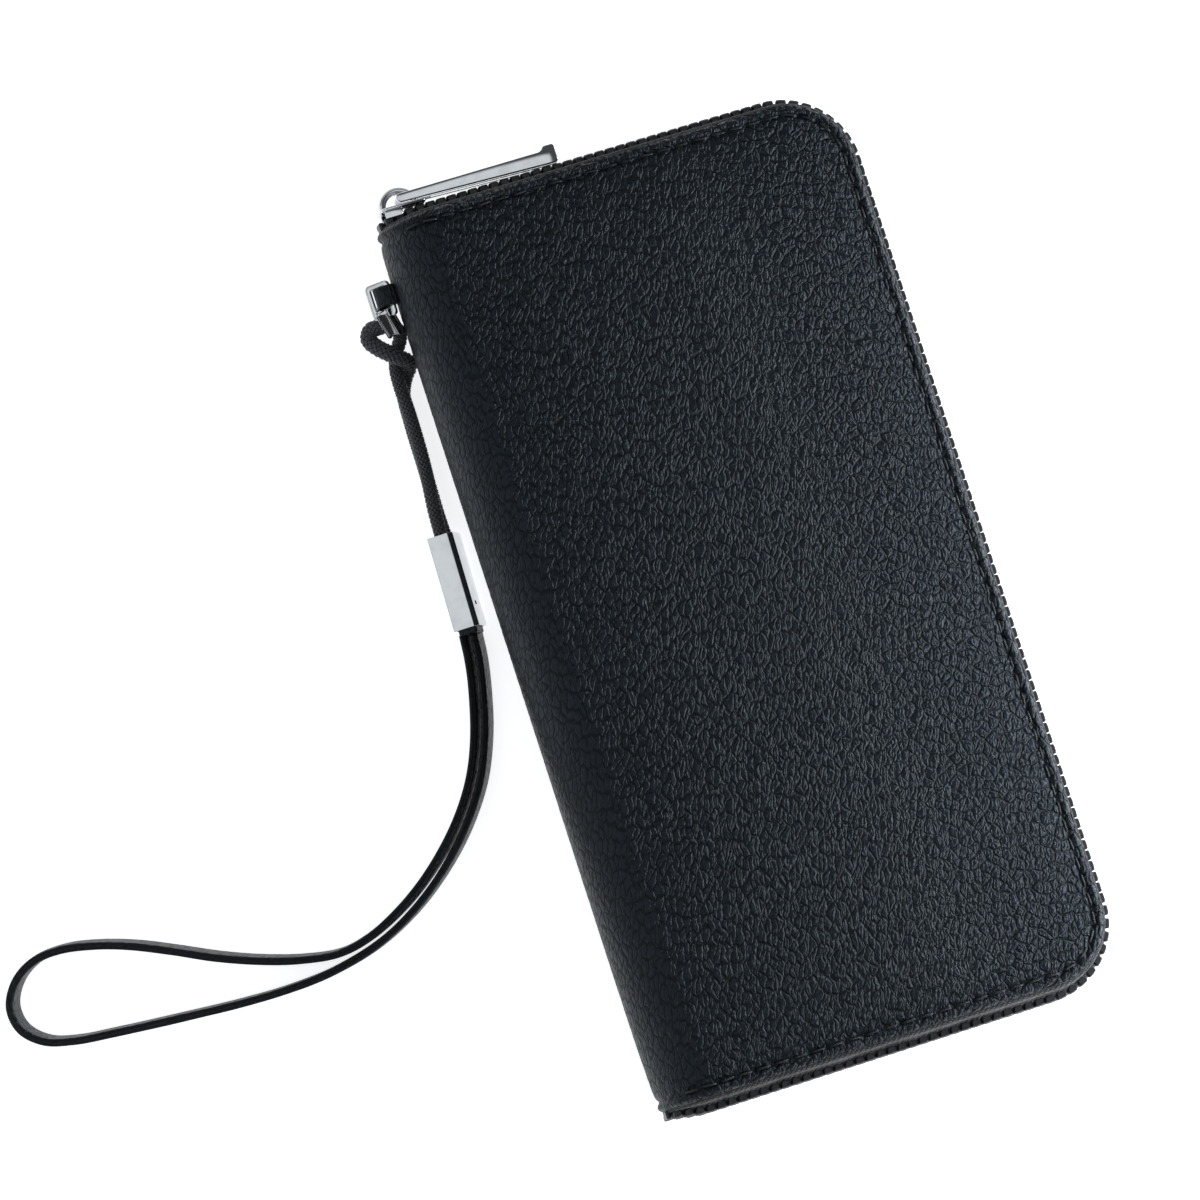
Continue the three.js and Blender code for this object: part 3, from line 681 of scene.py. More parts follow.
def braided_cord():
    """Eight strands each way round, over and under each other, about a dark core."""
    route = catmull_rom(LOWER_LEG + HITCH + UPPER_LEG, 420)
    length = path_length(route)
    along = np.linspace(0, length, len(route))
    _, normals, binormals = frames_along(route)
    # The cord is fuller where it is hitched, and squeezed where it passes through the link.
    in_hitch = np.exp(-(((along - length / 2 + 3) / 11) ** 4))
    at_link = np.exp(-((np.linalg.norm(route - LINK_OPENING, axis=1) / 2.2) ** 2))
    radius = CORD_RADIUS * (1 + 0.20 * in_hitch - 0.42 * at_link)
    strands, pitch, thickness = 8, 9.0, 0.26
    parts = [sweep(route, radius * 0.66, radius * 0.66, 12, normals, binormals)]
    crossings = np.cos(2 * np.pi * strands * along / pitch)
    for direction in (1, -1):
        for strand in range(strands):
            angle = 2 * np.pi * (strand / strands + direction * along / pitch)
            outwards = normals * np.cos(angle)[:, None] + binormals * np.sin(angle)[:, None]
            reach = radius - thickness * 1.55 + direction * crossings * thickness * 0.85
            line = route + outwards * reach[:, None]
            sideways = np.cross(tangents_of(line), outwards)
            width = 0.37 * radius / CORD_RADIUS
            parts.append(sweep(line, width, thickness, 6, sideways, outwards))
    vertices, faces = gather(parts)
    vertices[:, 2] = np.maximum(vertices[:, 2], FLOOR_CLEARANCE)
    cord = make_object("wrist_cord", vertices, faces, BRAID)
    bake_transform(cord)
    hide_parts("cord_knot", "cord_leg_lower", "cord_leg_upper")


# ---- Strip: one folded leather strip, from the clamp round the loop and back ----
PAIRED_RUN = [
    (-57.5, 11.4), (-58.0, 6), (-59.1, 0), (-61.9, -10), (-65.9, -18.8), (-71.8, -26.9), (-79.4, -34.3),
    (-87.8, -40.2), (-96.6, -44.3),
]
LOOP_RUN = [
    (-104, -44.6), (-112, -43.5), (-120.5, -41), (-129, -37.6), (-137, -33.7), (-145, -30.1), (-152, -27.8),
    (-159, -26.5), (-165, -27), (-169.8, -29.9), (-172.6, -34.8), (-171.9, -39.8), (-168, -43.6),
    (-162, -45.4), (-154, -46.3), (-145, -47.1), (-136, -47.8), (-127, -48.4), (-117, -48.6), (-107, -47.9),
]
LEG_SPACING = 1.15
STRIP_LEAN = np.array([-0.38, -0.12, 1.0])
STRIP_HEIGHT = 5.6


def strip_route():
    """The strip's middle line at mid height: one leg, the loop, and the other leg."""
    middle = np.array(PAIRED_RUN, float)
    first, last = middle[1:2] - middle[:1], middle[-1:] - middle[-2:-1]
    directions = unit(np.vstack([first, middle[2:] - middle[:-2], last]))
    sideways = np.stack([directions[:, 1], -directions[:, 0]], -1)
    near = middle + LEG_SPACING * sideways
    far = middle - LEG_SPACING * sideways
    flat = np.vstack([near, np.array(LOOP_RUN, float), far[::-1]])
    flat = catmull_rom(np.column_stack([flat, np.zeros(len(flat))]), 640)
    return flat + np.array([0, 0, STRIP_HEIGHT / 2])


def leather_strip():
    """The strip's mesh along its route, leaning a little, and the route itself."""
    route = strip_route()
    tangents = tangents_of(route)
    upwards = unit(STRIP_LEAN)
    sideways = np.stack([-tangents[:, 1], tangents[:, 0], np.zeros(len(route))], -1)
    along = np.linspace(0, path_length(route), len(route))
    # Section, as (height, side): faces that swell a little in the middle, and round edges.
    face_share = 0.86
    section = []
    for side in (1, -1):
        for height in np.linspace(-face_share, face_share, 13) * side:
            puff = 1.0 - 0.10 * (height / face_share) ** 2
            section.append((height * STRIP_HALF_WIDTH, side * STRIP_HALF_THICKNESS * puff))
        for angle in np.linspace(20, 160, 6):
            turn = math.radians(angle)
            rounded = side * (face_share + (1 - face_share) * math.sin(turn)) * STRIP_HALF_WIDTH
            section.append((rounded, side * math.cos(turn) * STRIP_HALF_THICKNESS * 0.93))
    section = np.array(section)
    wobble = 1 + 0.02 * np.sin(along / 7.0) + 0.012 * np.sin(along / 2.3)
    points = (
        route[:, None]
        + upwards * section[None, :, :1]
        + sideways[:, None] * (section[None, :, 1:] * wobble[:, None, None])
    )
    points[..., 2] = np.maximum(points[..., 2], FLOOR_CLEARANCE)
    faces = tube_faces(len(route), len(section))
    strip = make_object("wrist_strip", points.reshape(-1, 3), faces, STRAP_LEATHER)
    flat = np.zeros((len(route), len(section), 3))
    flat[..., 0] = section[None, :, 0] + np.sign(section[None, :, 1]) * 20 + 60
    flat[..., 1] = along[:, None]
    store_vectors(strip, "leather_mm", flat.reshape(-1, 3))
    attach(strip, "wrist_strap")
    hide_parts("strap_strip")
    return strip, route


# ---- Clamp ----
CLAMP_CENTRE = Vector((-57.2, 22.4, 4.4))
CLAMP_TURN = Matrix.Rotation(math.radians(-1.5), 4, "Z") @ Matrix.Rotation(math.radians(-22), 4, "Y")
UPRIGHT_TO_Y = Matrix.Rotation(math.radians(90), 4, "X")


def clamp_place():
    return Matrix.Translation(CLAMP_CENTRE) @ CLAMP_TURN


def strap_clamp():
    """A chrome ferrule with chamfered corners, pinned at its side."""
    half_length = 10.25
    outer = chamfered_rectangle(2.8, 3.6, (0.2, 0.2, 0.95, 0.2))
    inner = chamfered_rectangle(2.35, 3.15, (0.2, 0.2, 0.75, 0.2))
    sleeve = prism("clamp_sleeve", outer, -half_length, half_length, CHROME, [inner], 0.09)
    place(sleeve, clamp_place() @ UPRIGHT_TO_Y)
    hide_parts("strap_clamp")
    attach(sleeve, "wrist_strap")

    pin = prism("clamp_side_pin", circle(0.6, 24), 2.0, 2.98, CHROME, bevel_width=0.3)
    lie_sideways = Matrix.Translation((0, -5.25, 0)) @ Matrix.Rotation(math.radians(90), 4, "Y")
    place(pin, clamp_place() @ lie_sideways)
    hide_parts("clamp_pin")
    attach(pin, "wrist_strap")
    return [sleeve, pin]


def chamfered_rectangle(half_x, half_y, cut):
    """A rectangle with straight cut corners, anticlockwise. The first cut is at low X and low Y."""
    x, y = half_x, half_y
    low_low, high_low, high_high, low_high = cut
    return [
        (x, -y + high_low), (x, y - high_high), (x - high_high, y), (-x + low_high, y),
        (-x, y - low_high), (-x, -y + low_low), (-x + low_low, -y), (x - high_low, -y),
    ]


def glued_ends():
    """The strip's two ends, pressed together in the clamp and for a little way out of it."""
    outline = rounded_rectangle(2.05, 2.85, 0.5)
    end = prism("strip_glued_ends", outline, -11.5, 5.0, STRAP_LEATHER, bevel_width=0.3)
    place(end, clamp_place() @ Matrix.Scale(-1, 4, (0, 1, 0)) @ UPRIGHT_TO_Y)
    end.data.flip_normals()
    lay_grain_by_place(end)
    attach(end, "wrist_strap")
    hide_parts("strap_glued_ends")
    return end


# ---- Ring, link and tab ----
RING_PIVOT = Vector((-53.2, 83.3, MID_PLANE))
RING_DROOP = math.radians(30)
RING_REACH = 4.4
RING_HALF_HEIGHT = 3.3


def strap_ring():
    """A small rectangular ring of chrome wire, with rounded edges."""
    half_wire = 0.6
    outer = rounded_rectangle(RING_REACH / 2 + half_wire, RING_HALF_HEIGHT + half_wire, 1.0)
    inner = rounded_rectangle(RING_REACH / 2 - half_wire, RING_HALF_HEIGHT - half_wire, 0.35)
    ring = prism("chrome_ring", outer, -half_wire, half_wire, CHROME, [inner], 0.3, 4)
    turn = Matrix.Rotation(-RING_DROOP, 4, "Y") @ Matrix.Translation((-RING_REACH / 2, 0, 0))
    place(ring, Matrix.Translation(RING_PIVOT) @ turn)
    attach(ring, "ring")
    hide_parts("strap_ring")


def link_place():
    """Where the link hangs: on the middle of the ring's lower bar, turned down by its droop."""
    bar = Vector((-math.cos(RING_DROOP), 0, -math.sin(RING_DROOP)))
    droop = math.radians(32)
    upwards = bar.cross(Vector((0, -1, 0)))
    along = Vector((0, -1, 0)) * math.cos(droop) - upwards * math.sin(droop)
    across = bar.cross(along)
    turn = Matrix((along, across, bar)).transposed().to_4x4()
    hook = RING_PIVOT + bar * RING_REACH / 2 - Vector((0, RING_HALF_HEIGHT, 0))
    return Matrix.Translation(hook) @ turn


def strap_link():
    """A flat polished band bent into a loop, with raised rims and a sunk middle."""
    length, wall, half_depth, width = 6.8, 0.9, 1.9, 2.8
    overhang = 2.05
    middle = Matrix.Translation((length / 2 - overhang, 0, 0))
    outer = rounded_rectangle(length / 2, half_depth, 0.9)
    inner = rounded_rectangle(length / 2 - wall, half_depth - wall, 0.35)
    sunk = rounded_rectangle(length / 2 - 0.18, half_depth - 0.18, 0.75)
    rim = 0.55
    bands = [
        prism("link_rim", outer, -width / 2, -width / 2 + rim, CHROME, [inner], 0.14),
        prism("link_rim_2", outer, width / 2 - rim, width / 2, CHROME, [inner], 0.14),
        prism("link_middle", sunk, -width / 2 + 0.3, width / 2 - 0.3, CHROME, [inner], 0.05),
    ]
    link = join_objects("chrome_link", bands)
    place(link, link_place() @ middle)
    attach(link, "link")
    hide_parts("strap_link")


def strap_tab():
    """A leather tab folded round the ring's bar, with its edges sewn down on the spine."""
    seat = SPINE_X - SPINE_RADIUS - 0.25
    reach, half_thickness = 3.25, 2.1
    foot, head = 81.6, 85.9
    turns = [math.radians(a) for a in np.linspace(90, 270, 17)]
    outline = [(RING_PIVOT.x + reach * math.cos(a), MID_PLANE + half_thickness * math.sin(a)) for a in turns]
    outline = outline[::-1] + [(seat, MID_PLANE + half_thickness), (seat, MID_PLANE - half_thickness)]
    tab = prism("ring_tab", outline, -head, -foot, STRAP_LEATHER, bevel_width=0.35)
    place(tab, Matrix.Rotation(math.radians(90), 4, "X"))
    lay_grain_by_place(tab)
    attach(tab, "back_half")
    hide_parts("strap_tab")


# ---- Leather covers ----
def skin_rows():
    """Heights of the rows: even along the straight sides, and by angle round the corners."""
    straight = np.arange(0, CORNER_Y, GRID_STEP)
    corner = CORNER_Y + CORNER_RADIUS * np.sin(np.radians(np.arange(0, 90.1, 2.25)))
    upper = np.concatenate([straight, corner])
    return np.concatenate([-upper[::-1], upper[1:]])


def surface_relief(x, y, arc_side, padding):
    """Height of the cover's face above the flat: padded middle, sewn groove and round lip. Where the padding
    is 0, the cover lies on what it stands on, and nothing is proud of the flat."""
    inside = np.where(arc_side, HALF_HEIGHT - np.abs(y), edge_distance(x, y))
    inside = np.maximum(inside, 0)
    middle_x = (FREE_EDGE + SPINE_X) / 2
    bow = 1 - np.abs((x - middle_x) / (FREE_EDGE - middle_x)) ** 2.6
    along = np.clip(1 - (y / HALF_HEIGHT) ** 6, 0, 1)
    crown = 0.55 * (1 - np.exp(-inside / 10)) + 2.2 * np.clip(bow, 0, 1) * along
    groove = -0.40 * np.exp(-(((inside - STITCH_INSET) / 0.5) ** 2))
    lip = 0.16 * np.exp(-(((inside - 1.0) / 0.55) ** 2))
    turned = -0.60 * np.clip(1 - inside / 0.8, 0, 1) ** 2
    phase = 0.5 + 0.5 * np.cos(2 * np.pi * stitch_phase(x, y) / STITCH_PITCH)
    pucker = -0.22 * phase * np.exp(-(((inside - STITCH_INSET - 0.5) / 1.1) ** 2))
    details = groove + lip + turned + pucker
    return padding * (crown + details) + (1 - padding) * (np.minimum(details, 0) - REST_GAP)


# The turned-in edge, as (distance into the cover, depth below the face).
TURNED_IN = [(-0.05, 0.25), (-0.02, 0.6), (0.15, 0.9), (0.8, 1.12), (2.5, 1.15), (5.0, 1.15)]


def cover_skin(name, side, arc_start):
    """The leather of one cover and its share of the spine, turned in over its edges. It is laid out as a
    front cover, and the back one is then mirrored."""
    rows = skin_rows()
    arc_angles = np.arange(arc_start, math.pi / 2, -GRID_STEP / SPINE_RADIUS)
    fine_band = 4  # the rows of points lie closer together near the free edge
    shares = np.arange(0, 1.0, GRID_STEP / (FREE_EDGE - SPINE_X - fine_band))
    near_edge = np.arange(0, fine_band + 0.01, 0.25)
    widest = np.where(
        np.abs(rows) > CORNER_Y,
        CORNER_X + np.sqrt(np.maximum(CORNER_RADIUS**2 - (np.abs(rows) - CORNER_Y) ** 2, 0)),
        FREE_EDGE,
    )
    band_starts = widest - fine_band
    flat_x = [np.concatenate([SPINE_X + shares * (b - SPINE_X), b + near_edge]) for b in band_starts]
    flat_x = np.array(flat_x)
    arc_count = len(arc_angles)
    columns = arc_count + flat_x.shape[1]
    x = np.zeros((len(rows), columns))
    z = np.full((len(rows), columns), THICKNESS)
    nx = np.zeros(columns)
    nz = np.ones(columns)
    x[:, :arc_count] = SPINE_X + SPINE_RADIUS * np.cos(arc_angles)
    z[:, :arc_count] = MID_PLANE + SPINE_RADIUS * np.sin(arc_angles)
    nx[:arc_count] = np.cos(arc_angles)
    nz[:arc_count] = np.sin(arc_angles)
    x[:, arc_count:] = flat_x
    y = np.repeat(rows[:, None], columns, 1)
    arc_side = x < SPINE_X + 0.01
    padding = np.ones(columns)
    if side == "back":
        padding[:arc_count] = 1 - smooth(np.linspace(0, 1, arc_count))
        padding[arc_count:] = 0
    # The arc has the relief with which the flat begins, so that the two run into each other.
    relief = surface_relief(np.where(arc_side, SPINE_X, x), y, arc_side, padding)
    points = np.stack([x + nx * relief, y, z + nz * relief], -1)
    across = np.zeros(columns)
    across[:arc_count] = -(arc_angles - math.pi / 2) * SPINE_RADIUS
    flat_coordinates = np.zeros_like(points)
    flat_coordinates[..., 0] = np.where(arc_side, across[None, :] + 0 * x, x - SPINE_X)
    flat_coordinates[..., 1] = y
    faces = grid_faces(len(rows), columns)

    # The border: bottom edge, free edge and top edge, then turned in under the cover.
    border = (
        [(0, j) for j in range(columns)]
        + [(i, columns - 1) for i in range(1, len(rows))]
        + [(len(rows) - 1, j) for j in range(columns - 2, -1, -1)]
    )
    index = [i * columns + j for i, j in border]
    outline = points.reshape(-1, 3)[index]
    in_plane = np.stack([x.ravel()[index], y.ravel()[index]], -1)
    inward = border_inward(in_plane)
    normal = np.array([[nx[j], 0, nz[j]] for _, j in border])
    edge_rings = [outline - normal * depth + inward * inset for inset, depth in TURNED_IN]
    all_points = [points.reshape(-1, 3)]
    all_flat = [flat_coordinates.reshape(-1, 3)]
    previous = index
    first = points.shape[0] * points.shape[1]
    flat_border = flat_coordinates.reshape(-1, 3)[index]
    for depth, ring in enumerate(edge_rings):
        current = list(range(first, first + len(ring)))
        for k in range(len(ring) - 1):
            faces.append([previous[k], current[k], current[k + 1], previous[k + 1]])
        all_points.append(ring)
        all_flat.append(flat_border - inward * (0.4 * (depth + 1)))
        previous = current
        first += len(ring)
    vertices = np.concatenate(all_points)
    flat = np.concatenate(all_flat)
    faces = flipped(faces)
    if side == "back":
        vertices, faces = turned_over(vertices, faces)
        flat[:, 0] = -flat[:, 0] - 2 * HALF_TURN
    skin = make_object(name, vertices, faces, LEATHER)
    store_vectors(skin, "leather_mm", flat)
    emboss(skin, 0.24)
    return skin


def border_inward(in_plane):
    """Directions that lead from the border into the cover, in the cover's plane."""
    x, y = in_plane[:, 0], in_plane[:, 1]
    inward = np.zeros((len(x), 3))
    in_corner = (x > CORNER_X) & (np.abs(y) > CORNER_Y)
    along_side = ~in_corner & (np.abs(y) > HALF_HEIGHT - 0.5)
    centre = np.stack([np.full(len(x), CORNER_X), np.sign(y) * CORNER_Y], -1)
    towards = centre - in_plane
    towards /= np.maximum(np.linalg.norm(towards, axis=1), 1e-6)[:, None]
    inward[in_corner, :2] = towards[in_corner]
    inward[along_side, 1] = -np.sign(y[along_side])
    free = ~in_corner & ~along_side
    inward[free, 0] = -1
    return inward


def covers():
    """Front and back leather. They meet on the spine, a little below its middle."""
    seam = math.radians(200)
    front = cover_skin("front_leather", "front", seam)
    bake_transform(front)
    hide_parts("front_cover_leather")
    back = cover_skin("back_leather", "back", 2 * math.pi - seam)
    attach(back, "back_half")
    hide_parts("back_cover_leather", "spine_leather")


# ---- Stitches ----
def stitch(middle, tangent, normal, length=3.1, thread=0.27):
    """One stitch that dives into the leather at both ends."""
    steps = 9
    t = np.linspace(-1, 1, steps)
    dip = 0.05 - 0.55 * np.abs(t) ** 4
    line = middle + tangent * (t * length / 2)[:, None] + normal * dip[:, None]
    widths = thread * (1 - 0.35 * np.abs(t) ** 6)
    sides = np.tile(np.cross(tangent, normal), (steps, 1))
    normals = np.tile(normal, (steps, 1))
    return sweep(line, widths, thread * 0.8, 7, sides, normals)


def cover_stitches(side):
    """Stitches round three edges of a cover, and on round the spine's end for a little way. The back's lie
    deeper, clear of what it rests on."""
    parts = []
    proud = 0.12 if side == "front" else -0.30
    flat_length = edge_length(-STITCH_INSET, SPINE_X)
    half = flat_length / 2
    count = int((half + 9) // STITCH_PITCH)
    for k in range(-count, count + 1):
        d = half + (k + 0.5) * STITCH_PITCH
        slack = 0.06 * random.standard_normal()
        if 0 < d < flat_length:
            (point,), (outward,) = edge_at([d], -STITCH_INSET, SPINE_X)
            tangent = np.array([-outward[1], outward[0], 0])
            normal = np.array([0, 0, 1.0])
            middle = np.array([point[0], point[1], THICKNESS + proud])
        else:
            beyond = -d if d < 0 else d - flat_length
            angle = math.pi / 2 + beyond / SPINE_RADIUS
            if angle > math.radians(130):
                continue
            end = -1 if d < 0 else 1
            normal = np.array([math.cos(angle), 0, math.sin(angle)])
            tangent = np.array([-math.sin(angle), 0, math.cos(angle)])
            middle = np.array([SPINE_X, end * (HALF_HEIGHT - STITCH_INSET), MID_PLANE])
            middle = middle + normal * (SPINE_RADIUS + proud)
        runs_across = abs(tangent[0]) > 0.5
        tangent = unit(tangent + np.array([0, slack, 0] if runs_across else [slack, 0, 0]))
        parts.append(stitch(middle, tangent, normal))
    vertices, faces = gather(parts)
    if side == "back":
        vertices, faces = turned_over(vertices, faces)
    stitches = make_object(f"{side}_stitches", vertices, faces, THREAD)
    if side == "front":
        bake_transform(stitches)
    else:
        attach(stitches, "back_half")


# ---- Main zip ----
# The tape's section, as (outward offset, height above the mid plane): out from under the leather, down
# to the teeth, and back up inside.
TAPE_SECTION = [
    (-2.4, 10.9), (-0.9, 10.95), (0.1, 10.8), (0.75, 10.2), (1.0, 9.0), (1.05, 7.2), (1.0, 5.6), (1.15, 4.2),
    (1.55, 3.3), (2.1, 2.9), (2.3, 2.5), (2.1, 2.2), (1.3, 2.4), (0.8, 3.4), (0.6, 5.6), (0.65, 7.2),
    (0.6, 8.8), (0.35, 9.8), (-0.3, 10.3), (-2.4, 10.4),
]


def zip_tape(name, side, start, body, node):
    """One half of the tape, swept round the wallet's three open edges with a slight ripple."""
    section = np.array(TAPE_SECTION)
    total = edge_length(0, start)
    distances = np.arange(0, total + 0.01, 0.6)
    points, normals = edge_at(distances, 0, start)
    ripple = 0.07 * np.sin(distances / 3.1) + 0.05 * np.sin(distances / 1.31 + 1)
    rows = []
    for point, normal, wave in zip(points, normals, ripple):
        offset = section[:, 0] + np.where((section[:, 1] < 9) & (section[:, 1] > 3), wave, 0)
        plan = point + normal * offset[:, None]
        rows.append(np.column_stack([plan, MID_PLANE + section[:, 1]]))
    vertices = np.concatenate(rows)
    faces = tube_faces(len(distances), len(section))
    if side == "back":
        vertices, faces = turned_over(vertices, faces)
    tape = make_object(name, vertices, faces, TAPE)
    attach(tape, body)
    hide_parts(node)


# Where tapes, teeth and end stops begin, in X. The front's start just past the fold, and turn with the cover.
FRONT_TAPE_START = -38.5
BACK_TAPE_START = -39.0
TEETH_START = -50.0
FRONT_TEETH_START = -38.3
STOP_X = -50.6

# A tooth seen from the cover's side, as (outward offset, distance along the tape).
TOOTH_SECTION = [
    (2.2, 1.08), (2.9, 1.05), (3.07, 0.86), (3.12, 0), (3.07, -0.86), (2.9, -1.05), (2.2, -1.08), (1.5, -0.8),
    (1.3, 0), (1.5, 0.8),
]


# The tooth from its heel to its tip, as (height above the mid plane, share of the full outline).
TOOTH_LEVELS = [
    (3.5, 0.72), (3.0, 1.0), (1.3, 1.0), (0.75, 0.70), (0.35, 0.52), (-0.2, 0.56), (-0.7, 0.50), (-1.0, 0.30),
]
TOOTH_CENTRE = np.array([2.2, 0])


def tooth(point, outward, height_sign):
    """One zip tooth: a heel that grips the tape and a head that reaches over the mid plane."""
    tangent = np.array([-outward[1], outward[0]])
    outline = np.array(TOOTH_SECTION)
    vertices = []
    for level, scale in TOOTH_LEVELS:
        shrunk = TOOTH_CENTRE + (outline - TOOTH_CENTRE) * scale
        xy = point + outward * shrunk[:, :1] + tangent * shrunk[:, 1:]
        vertices.append(np.column_stack([xy, np.full(len(xy), MID_PLANE + height_sign * level)]))
    faces = tube_faces(len(TOOTH_LEVELS), len(outline))
    return np.concatenate(vertices), flipped(faces) if height_sign > 0 else faces


def teeth_row(name, places, height_sign, body, nodes_replaced):
    vertices, faces = gather([tooth(point, outward, height_sign) for point, outward in places])
    row = make_object(name, vertices, faces, TEETH, 35)
    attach(row, body)
    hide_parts(*nodes_replaced)


def drawn_in(x):
    """How far the zip draws in towards the leather near the end of the spine."""
    share = np.clip((-42.0 - x) / 9.0, 0, 1)
    return 1.1 * smooth(share)


def main_zip():
    """The two tapes and the teeth. Front teeth beside the spine stay with it when the cover opens."""
    zip_tape("front_tape", "front", FRONT_TAPE_START, "front_cover", "front_zip_tape")
    zip_tape("back_tape", "back", BACK_TAPE_START, "back_half", "back_zip_tape")
    start = TEETH_START
    total = edge_length(0, start)
    count = int(total / TOOTH_PITCH)
    spacing = total / count
    back, front, spine = [], [], []
    for k in range(count + 1):
        (point,), (outward,) = edge_at([min(k * spacing, total)], 0, start)
        back.append((point - outward * drawn_in(point[0]), outward))
        if k == count:
            break
        (point,), (outward,) = edge_at([(k + 0.5) * spacing], 0, start)
        row = spine if point[0] < FRONT_TEETH_START else front
        row.append((point - outward * drawn_in(point[0]), outward))
    teeth_row("back_teeth", back, -1, "back_half", ["back_zip_teeth"])
    teeth_row("front_teeth", front, 1, "front_cover", ["front_zip_teeth"])
    teeth_row("spine_teeth", spine, 1, "back_half", ["spine_zip_teeth_top", "spine_zip_teeth_bottom"])


def spine_end_tapes():
    """The tape goes on round each end of the spine, and narrows with the leather's arc."""
    section = np.array(TAPE_SECTION)
    outer = section[: len(section) // 2]
    halfway = np.column_stack([outer[::-1, 0], -outer[::-1, 1]])
    across = np.vstack([outer, [[2.2, 0.0]], halfway])
    x = np.linspace(-38.6, SPINE_X - SPINE_RADIUS + 1.0, 30)
    room = np.sqrt(np.maximum((SPINE_RADIUS - 1.0) ** 2 - np.minimum(x - SPINE_X, 0) ** 2, 0.3))
    narrowing = room / room[0]
    for end, sign in (("top", 1), ("bottom", -1)):
        rows = []
        for place_x, share in zip(x, narrowing):
            offset = across[:, 0] - drawn_in(place_x) * across[:, 0] / 2.2
            rows.append(np.column_stack([
                np.full(len(across), place_x),
                sign * (HALF_HEIGHT + offset),
                MID_PLANE + across[:, 1] * share,
            ]))
        outside = np.concatenate(rows)
        inside = outside - np.array([0, sign * 0.45, 0])
        n = len(across)
        outer_faces = grid_faces(len(x), n)
        inner_faces = [[i + len(outside) for i in face[::-1]] for face in outer_faces]
        border = border_of(len(x), n)
        rim = [[b, a, len(outside) + a, len(outside) + b] for a, b in zip(border, border[1:] + border[:1])]
        faces = outer_faces + inner_faces + rim
        if sign > 0:
            faces = flipped(faces)
        tape = make_object(f"spine_{end}_tape", np.concatenate([outside, inside]), faces, TAPE)
        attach(tape, "back_half")
        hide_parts(f"spine_zip_tape_{end}")


def zip_stops():
    for end, sign in (("top", 1), ("bottom", -1)):
        outline = rounded_rectangle(0.5, 2.1, 0.35)
        stop = prism(f"zip_{end}_stop", outline, 1.0, 2.9, TEETH, bevel_width=0.3)
        turn = Matrix.Rotation(math.radians(-90 * sign), 4, "X")
        place(stop, Matrix.Translation((STOP_X, sign * (HALF_HEIGHT - drawn_in(STOP_X)), MID_PLANE)) @ turn)
        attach(stop, "back_half")
        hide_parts(f"zip_stop_{end}")


# ---- Sliders ----
def shoulder_of(nose, tail):
    """Where a slider's full width ends."""
    return nose + (tail - nose) * 0.45


def slider_plan(nose, tail, half_width):
    """A slider's plate: round shoulders at the nose, drawing in to the tail."""
    points = []
    shoulder = shoulder_of(nose, tail)
    rounding, steps = 1.8, 8
    for k in range(steps + 1):
        angle = math.pi + math.pi / 2 * k / steps
        x = nose + rounding + rounding * math.cos(angle)
        y = -half_width + rounding + rounding * math.sin(angle)
        points.append((x, y))
    points += [(shoulder, -half_width), (tail - 0.6, -half_width * 0.84), (tail, -half_width * 0.72)]
    mirrored = [(x, -y) for x, y in points[::-1]]
    return points + mirrored


def slider_body(name, size):
    """Both plates, the flanges, the post and the crown. Travel runs along X and outwards along Z."""
    pieces = []
    nose, tail, half = size["nose"], size["tail"], size["half_width"]
    round_in = size["round"]
    outer_plan = slider_plan(nose, tail, half)
    pieces.append(prism("outer", outer_plan, *size["outer"], CHROME, bevel_width=round_in))
    inner_plan = slider_plan(nose + 1.2, tail, half - 0.8)
    pieces.append(prism("inner", inner_plan, *size["inner"], CHROME, bevel_width=round_in * 0.8))
    post_low, post_high = size["post"]
    post = rounded_rectangle((post_high - post_low) / 2, size["post_half_width"], 0.12)
    post = [(x + (post_low + post_high) / 2, y) for x, y in post]
    pieces.append(prism("post", post, size["inner"][1] - 0.2, size["outer"][0] + 0.2, CHROME))
    shoulder = shoulder_of(nose, tail)
    top = size["outer"][0] + 0.2
    for sign in (-1, 1):
        flange = rounded_rectangle((shoulder - nose - 0.8) / 2, size["flange"] / 2, 0.2)
        middle_x = (nose + 0.8 + shoulder) / 2
        middle_y = sign * (half - size["flange"] / 2)
        flange = [(x + middle_x, y + middle_y) for x, y in flange]
        pieces.append(prism("flange", flange, size["flange_low"], top, CHROME, bevel_width=0.15))
    # Crown: a strap of metal bowed over the plate, broad at its feet and narrower at the top.
    crown = size["crown"]
    foot = size["outer"][1] - 0.2
    angles = np.radians(np.linspace(0, 180, 29))
    reach = crown["radius"] - crown["wire"] / 2
    arch = [(reach * math.cos(a), 0, crown["centre"] + reach * math.sin(a)) for a in angles]
    line = np.array([(reach, 0, foot), *arch, (-reach, 0, foot)])
    side = np.tile([0, 1.0, 0], (len(line), 1))
    outward = np.cross(tangents_of(line), side)
    height = (line[:, 2] - foot) / (line[:, 2].max() - foot)
    widths = crown["half_width"] * (1.35 - 0.35 * height)
    section = np.array(rounded_rectangle(1, 1, 0.9, 4))
    points = (
        line[:, None]
        + side[:, None] * (widths[:, None] * section[:, 0])[..., None]
        + outward[:, None] * (crown["wire"] / 2 * section[:, 1])[None, :, None]
    )
    faces = grid_faces(len(line), len(section), close_columns=True)
    pieces.append(make_object("crown", points.reshape(-1, 3), faces, CHROME, 40))
    return join_objects(name, pieces)


